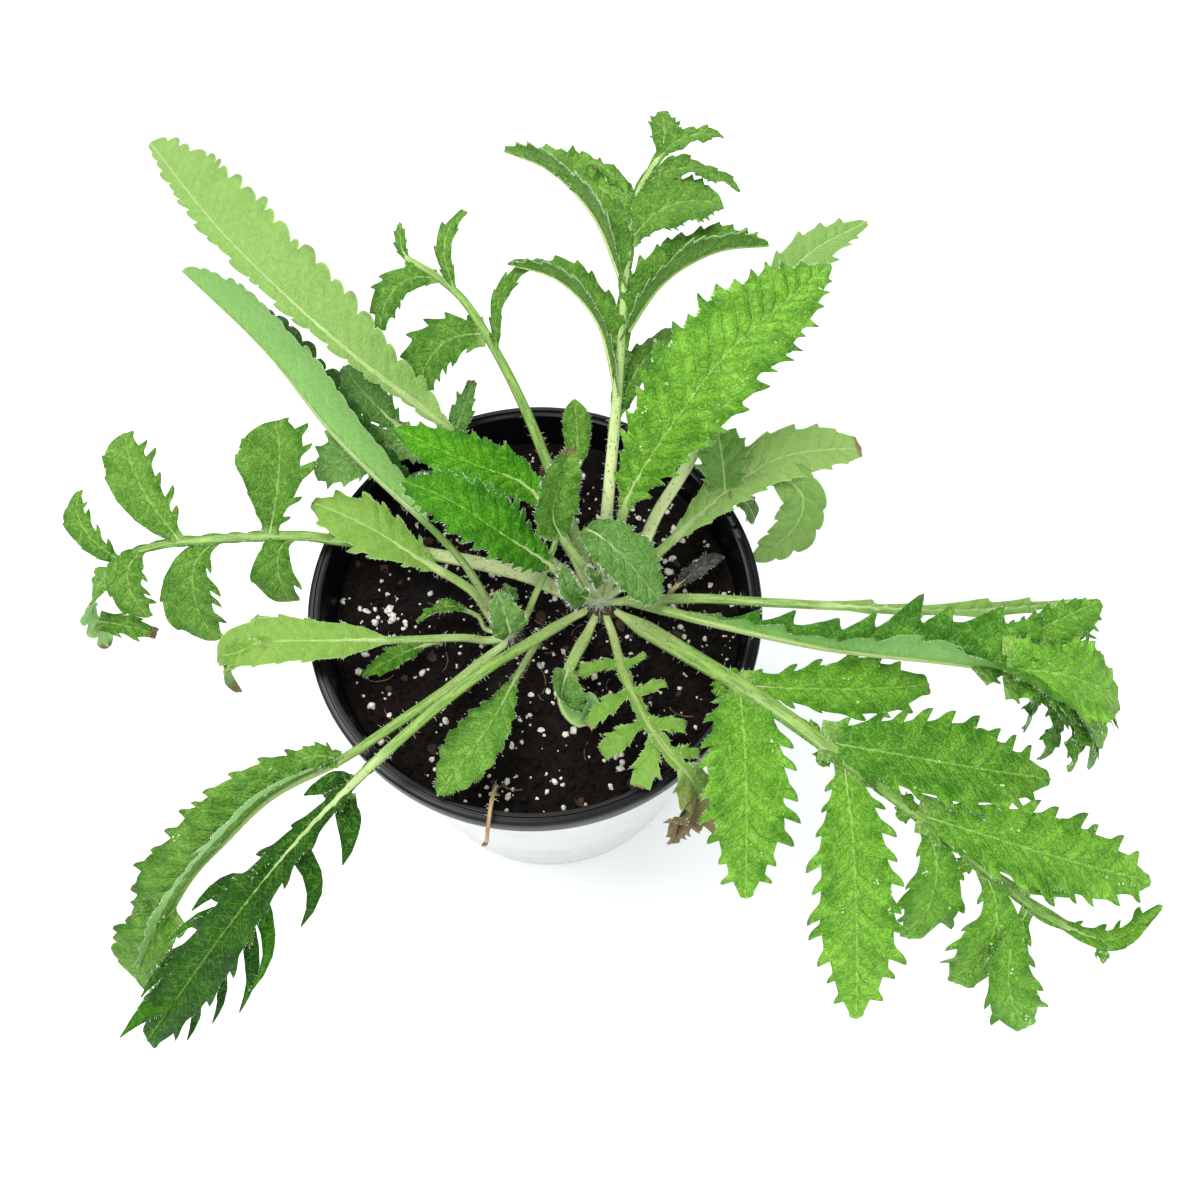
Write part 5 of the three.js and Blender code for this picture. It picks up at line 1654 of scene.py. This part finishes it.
def carve(piece: bpy.types.Object, cutters: list[bpy.types.Object]) -> None:
    """Cuts bodies out of a piece and removes them."""
    for cutter in cutters:
        cut = piece.modifiers.new("cut", "BOOLEAN")
        cut.operation, cut.solver, cut.object = "DIFFERENCE", "EXACT", cutter
    view = bpy.context.evaluated_depsgraph_get()
    mesh = bpy.data.meshes.new_from_object(piece.evaluated_get(view))
    piece.modifiers.clear()
    piece.data = mesh
    for cutter in cutters:
        bpy.data.objects.remove(cutter)


@dataclass
class Lumps:
    """Many small rough lumps in one piece."""

    places: Array
    sizes: Array
    rough: float
    seed: int
    flat: float = 0.75
    fine: int = 1

    def mesh(self) -> Mesh:
        """The lumps, each with its own turn and dents."""
        rng = np.random.default_rng(self.seed)
        ball, faces = self.ball()
        made = Mesh()
        for place, size in zip(self.places, self.sizes):
            turn = rng.normal(0, 1, (3, 3))
            turn, _ = np.linalg.qr(turn)
            dents = 1 + self.rough * rng.uniform(-1, 1, (len(ball), 1))
            stretch = rng.uniform(0.65, 1.25, 3)
            body = (ball * dents * stretch) @ turn * size * np.array([1, 1, self.flat])
            made.add(body + place, faces if np.linalg.det(turn) > 0 else faces[:, ::-1], 0)
        return made

    def ball(self) -> tuple[Array, Array]:
        """A unit ball of triangles, finer by each level."""
        g = (1 + 5**0.5) / 2
        points = [(-1, g, 0), (1, g, 0), (-1, -g, 0), (1, -g, 0), (0, -1, g), (0, 1, g),
                  (0, -1, -g), (0, 1, -g), (g, 0, -1), (g, 0, 1), (-g, 0, -1), (-g, 0, 1)]
        faces = [(0, 11, 5), (0, 5, 1), (0, 1, 7), (0, 7, 10), (0, 10, 11), (1, 5, 9), (5, 11, 4),
                 (11, 10, 2), (10, 7, 6), (7, 1, 8), (3, 9, 4), (3, 4, 2), (3, 2, 6), (3, 6, 8),
                 (3, 8, 9), (4, 9, 5), (2, 4, 11), (6, 2, 10), (8, 6, 7), (9, 8, 1)]
        points = [np.array(p) / math.hypot(1, g) for p in points]
        for _ in range(self.fine - 1):
            halves: dict[tuple[int, int], int] = {}

            def half(a: int, b: int) -> int:
                """The corner half-way along an edge."""
                key = (min(a, b), max(a, b))
                if key not in halves:
                    middle = points[a] + points[b]
                    points.append(middle / np.linalg.norm(middle))
                    halves[key] = len(points) - 1
                return halves[key]

            split = []
            for a, b, c in faces:
                ab, bc, ca = half(a, b), half(b, c), half(c, a)
                split += [(a, ab, ca), (b, bc, ab), (c, ca, bc), (ab, bc, ca)]
            faces = split
        return np.array(points), np.array(faces)


@dataclass(frozen=True)
class Grains:
    """One kind of grain on the soil: how many, their sizes, how rare large ones are, and their form."""

    piece: str
    count: int
    low: float
    high: float
    rare: float
    rough: float
    seed: int
    flat: float = 0.75
    fine: int = 1


# Perlite grains that stand out in the photo: x and y
SEEN_PERLITE = (
    (-58, 1), (-55, -2), (-60, -3), (-53, 2), (-57, 5), (-51, -4), (-61, 3), (-54, -7),
    (-18, -55), (-10, -68), (-13, -46), (-12, -40), (48, 28), (52, 24), (56, 31), (44, 34),
    (60, 22), (53, 37), (49, 18), (38, 42), (-48, 45), (8, -30), (30, -58), (-66, -22),
)


@dataclass
class Earth:
    """The soil with its crumbs, perlite and litter."""

    pot: NurseryPot
    level: float = SOIL_LEVEL
    rings: int = 72
    around: int = 200
    crumbs: Grains = Grains("soil_crumbs", 2600, 0.4, 1.8, 2.2, 0.28, 3)
    perlite: Grains = Grains("soil_perlite", 620, 0.3, 1.4, 2.4, 0.2, 4, flat=0.8, fine=2)
    bark: Grains = Grains("soil_bark", 60, 1.2, 3.2, 1.6, 0.3, 5, flat=0.45)
    fibres: int = 45
    seed: int = 17

    def lift(self, x: float, y: float) -> float:
        """How far the soil stands above its level at a place."""
        spot = Vector((x, y, 0))
        broad = noise.noise(spot * 0.045) * 1.1
        clods = noise.noise(spot * 0.17 + Vector((7, 3, 1))) * 0.8
        crumb = noise.noise(spot * 0.55 + Vector((1, 9, 4))) * 0.65 + noise.noise(spot * 1.3) * 0.3
        share = 1.0
        for (cx, cy, _), radius in CROWNS.values():
            share = min(share, max((math.hypot(x - cx, y - cy) - radius) / 10, 0.15))
        return (broad + clods + crumb) * share * 0.8

    def build(self, finishes: Finishes) -> None:
        """Makes the soil and what lies on it."""
        self.body(finishes.earth)
        rng = np.random.default_rng(self.seed)
        reach = self.pot.inner(self.level) - 2.0
        self.strew(self.crumbs, *self.scatter(rng, self.crumbs, reach), finishes.earth)
        strewn, seen = self.scatter(rng, self.perlite, reach), self.seen_perlite(rng)
        places, sizes = np.vstack([strewn[0], seen[0]]), np.concatenate([strewn[1], seen[1]])
        self.strew(self.perlite, places, sizes, finishes.perlite)
        self.strew(self.bark, *self.scatter(rng, self.bark, reach), finishes.bark)
        self.litter(rng, reach, finishes.straw)

    def scatter(self, rng: np.random.Generator, grains: Grains, reach: float) -> tuple[Array, Array]:
        """Places on the soil, with sizes that are mostly small."""
        radius = reach * np.sqrt(rng.uniform(0, 1, grains.count))
        turn = rng.uniform(0, 2 * math.pi, grains.count)
        sizes = grains.low + (grains.high - grains.low) * rng.uniform(0, 1, grains.count) ** grains.rare
        x, y = radius * np.cos(turn), radius * np.sin(turn)
        tall = np.array([self.level + self.lift(a, b) for a, b in zip(x, y)])
        clear = np.ones(grains.count, bool)
        for (cx, cy, _), size in CROWNS.values():
            clear &= np.hypot(x - cx, y - cy) > size + 1
        return np.column_stack([x, y, tall + sizes * 0.25])[clear], sizes[clear]

    def seen_perlite(self, rng: np.random.Generator) -> tuple[Array, Array]:
        """The places and sizes of the perlite grains that stand out in the photo."""
        near = np.array(SEEN_PERLITE, float)
        near = near + rng.normal(0, 0.8, near.shape)
        tall = np.array([self.level + self.lift(x, y) + 0.6 for x, y in near])
        return np.column_stack([near, tall]), rng.uniform(0.9, 1.9, len(near))

    def strew(self, grains: Grains, places: Array, sizes: Array, finish: bpy.types.Material) -> None:
        """Makes one piece of many grains."""
        lumps = Lumps(places, sizes, grains.rough, grains.seed, grains.flat, grains.fine)
        seat_piece(lumps.mesh().build(grains.piece, [finish], maps=False, sharp=50), "soil")

    def litter(self, rng: np.random.Generator, reach: float, finish: bpy.types.Material) -> None:
        """Adds dry fibres that lie on the soil."""
        made = Mesh()
        for _ in range(self.fibres):
            radius, turn = reach * 0.97 * math.sqrt(rng.uniform()), rng.uniform(0, 2 * math.pi)
            heading, length, half = rng.uniform(0, 2 * math.pi), rng.uniform(3, 10), rng.uniform(0.12, 0.3)
            at = np.array([radius * math.cos(turn), radius * math.sin(turn)]) * 0.93
            corners = []
            for share in np.linspace(-0.5, 0.5, 6):
                along = np.array([math.cos(heading + share * 0.6), math.sin(heading + share * 0.6)])
                spot = at + along * length * share
                tall = self.level + self.lift(*spot) + 0.5
                side = np.array([-along[1], along[0]]) * half
                corners += [[*(spot - side), tall], [*spot, tall + half]]
                corners += [[*(spot + side), tall], [*spot, tall - half]]
            made.add(np.array(corners), grid_faces(6, 4, closed=True)[:, ::-1], 0)
        seat_piece(made.build("soil_fibres", [finish], maps=False), "soil")

    def body(self, finish: bpy.types.Material) -> bpy.types.Object:
        """The filling of the pot, its top crumbly."""
        edge = self.pot.inner(self.level) - 0.25
        bottom = self.pot.outer_floor + self.pot.liner_floor + 0.6
        low_edge = self.pot.inner(bottom) - 1.6
        radii = edge * (np.arange(self.rings) + 1) / self.rings
        turn = np.arange(self.around) * 2 * math.pi / self.around
        x, y = radii[:, None] * np.cos(turn), radii[:, None] * np.sin(turn)
        z = np.vectorize(self.lift)(x, y) + self.level
        top = np.stack([x, y, z], -1).reshape(-1, 3)
        skirt = np.stack([low_edge * np.cos(turn), low_edge * np.sin(turn), np.full(self.around, bottom)], -1)
        made = Mesh()
        made.add(np.vstack([top, skirt]), grid_faces(self.rings + 1, self.around, closed=True)[:, ::-1], 0)
        made.close(np.arange(self.around), 0)
        made.close((np.arange(self.around) + self.rings * self.around)[::-1], 0)
        return seat_piece(made.build("soil_fine", [finish], maps=False), "soil", "soil")


@dataclass
class CrownHeart:
    """A crown: the knobbly stem top, wrapped in old leaf bases and white wool."""

    name: str
    wool: int
    height: float = 0.3
    rows: int = 14
    around: int = 36
    depth: float = 9.0
    wool_middle: Pair = (-0.12, 0.06)
    wool_length: float = 5.5

    def build(self, finishes: Finishes, roots: Roots) -> bpy.types.Object:
        """Makes the crown and plants its wool."""
        centre, radius = CROWNS[self.name]
        faces = grid_faces(self.rows + 1, self.around, closed=True)
        made = Mesh()
        made.add(self.corners(radius) + np.array(centre, float), faces, 0)
        made.close(np.arange(self.around)[::-1], 0)
        made.close(np.arange(self.around) + self.rows * self.around, 0)
        self.grow_wool(np.array(centre), radius, roots)
        name = f"crown_{self.name}"
        return seat_piece(made.build(f"{name}_fine", [finishes.crown], maps=False), "crown", name)

    def corners(self, radius: float) -> Array:
        """The corners of a low dome of scales, above a foot that goes into the soil."""
        rise = np.linspace(0, math.pi / 2 * 0.97, self.rows)
        turn = np.arange(self.around) * 2 * math.pi / self.around
        scales = 1 - 0.16 * np.abs(np.sin(turn[None] * 4.5 + rise[:, None] * 3))
        size = (radius - 0.5) * scales
        flat, tall = size * np.cos(rise)[:, None], size * np.sin(rise)[:, None] * self.height
        dome = np.stack([flat * np.cos(turn), flat * np.sin(turn), tall], -1).reshape(-1, 3)
        foot = dome[: self.around] * np.array([0.97, 0.97, 0]) - np.array([0, 0, self.depth])
        return np.vstack([foot, dome])

    def grow_wool(self, centre: Array, radius: float, roots: Roots) -> None:
        """Plants the wool over the crown's heart."""
        rng = np.random.default_rng(int(radius * 10))
        spread = rng.normal(0, 0.13, (self.wool, 2)) * radius + np.array(self.wool_middle) * radius
        feet = centre + np.column_stack([spread, rng.uniform(1.5, 4.5, self.wool)])
        ways = np.column_stack([spread * 0.25 + rng.normal(0, 0.55, (self.wool, 2)), np.full(self.wool, 0.6)])
        roots.plant(feet, ways, self.wool_length, rng)


@dataclass
class Poppy:
    """The whole plant: its crowns, its leaves, their hairs and the water drops on them."""

    leaves: tuple[Leaf, ...] = (*LEAVES, *YOUNG)
    crowns: tuple[CrownHeart, ...] = (CrownHeart("main", wool=650), CrownHeart("side", wool=200))
    drop_sizes: Pair = (0.18, 0.58)
    drop_seed: int = 8

    def build(self, finishes: Finishes) -> None:
        """Makes the plant."""
        roots = Roots()
        for crown in self.crowns:
            crown.build(finishes, roots)
        for leaf in self.leaves:
            LeafMaker(leaf, roots).build(finishes)
        seat_piece(roots.mesh().build("plant_hairs", [finishes.hair], maps=False), "")
        self.lay_drops(np.vstack(roots.drops), finishes.water)

    def lay_drops(self, places: Array, finish: bpy.types.Material) -> None:
        """Makes the water drops, round but a little flattened."""
        low, high = self.drop_sizes
        draws = np.random.default_rng(self.drop_seed).uniform(0, 1, len(places))
        lumps = Lumps(places, low + (high - low) * draws**2, rough=0.0, seed=6, flat=0.7, fine=2)
        seat_piece(lumps.mesh().build("water_drops", [finish], maps=False), "")


@dataclass(frozen=True)
class Lamp:
    """A square soft light: its place and size in metres, its power and its colour."""

    name: str
    place: Point
    size: float
    power: float
    colour: Point

    def light(self, aim: Point) -> None:
        """Hangs the light so that it looks at a place."""
        light = bpy.data.lights.new(self.name, "AREA")
        light.size, light.energy, light.color = self.size, self.power, self.colour
        made = bpy.data.objects.new(self.name, light)
        made.location = self.place
        made.rotation_euler = (Vector(aim) - Vector(self.place)).to_track_quat("-Z", "Y").to_euler()
        bpy.context.scene.collection.objects.link(made)


@dataclass
class Studio:
    """The pale ground, the soft light and the camera above the plant, in metres."""

    lens: float = 34.5
    sensor: float = 36.0
    place: Point = (0.0235, -0.163, 0.549)
    tilt: float = 23.0
    nearest: float = 0.01
    ground: float = 3.0
    sky: Point = (0.93, 0.97, 1.0)
    sky_strength: float = 0.75
    aim: Point = (0.0, 0.0, 0.15)
    lamps: tuple[Lamp, ...] = (
        Lamp("key", (-0.5, 0.15, 1.35), 0.7, 15.0, (1.0, 0.985, 0.96)),
        Lamp("fill", (0.5, -1.0, 0.9), 1.4, 12.0, (0.95, 0.98, 1.0)),
        Lamp("back", (0.1, 1.1, 0.9), 1.0, 6.0, (0.97, 1.0, 1.0)),
    )

    def build(self, finishes: Finishes) -> None:
        """Sets the ground, the lights and the camera."""
        self.lay_ground(finishes.floor)
        for lamp in self.lamps:
            lamp.light(self.aim)
        self.light_sky()
        self.set_camera()

    def lay_ground(self, finish: bpy.types.Material) -> None:
        """The square of pale ground, half of whose side is the ground's reach."""
        reach = self.ground / MM
        corners = np.array([[-1, -1, 0], [1, -1, 0], [1, 1, 0], [-1, 1, 0]]) * reach
        made = Mesh()
        made.add(corners, np.array([[0, 1, 2, 3]]), 0)
        made.build("ground", [finish], maps=False)

    def light_sky(self) -> None:
        """The even light from all sides, and colours shown as they are."""
        world = bpy.data.worlds.new("soft_light")
        world.use_nodes = True
        sockets = world.node_tree.nodes["Background"].inputs
        sockets["Color"].default_value = (*self.sky, 1.0)
        sockets["Strength"].default_value = self.sky_strength
        bpy.context.scene.world = world
        bpy.context.scene.view_settings.view_transform = "Standard"

    def set_camera(self) -> None:
        """The camera, which looks down at the plant from its front."""
        camera = bpy.data.objects.new("camera", bpy.data.cameras.new("camera"))
        camera.data.lens = self.lens
        camera.data.sensor_width = self.sensor
        camera.data.clip_start = self.nearest
        camera.location = self.place
        camera.rotation_euler = (math.radians(self.tilt), 0, 0)
        bpy.context.scene.collection.objects.link(camera)
        bpy.context.scene.camera = camera
        LOG.info("camera %.1f mm above the ground", self.place[2] / MM)


def main() -> None:
    """Builds the studio, the pot, the soil and the plant."""
    logging.basicConfig(level=logging.INFO, format="%(name)s: %(message)s")
    finishes = Finishes()
    Studio().build(finishes)
    pot = NurseryPot()
    pot.build(finishes)
    Earth(pot).build(finishes)
    Poppy().build(finishes)


if __name__ == "__main__":
    main()
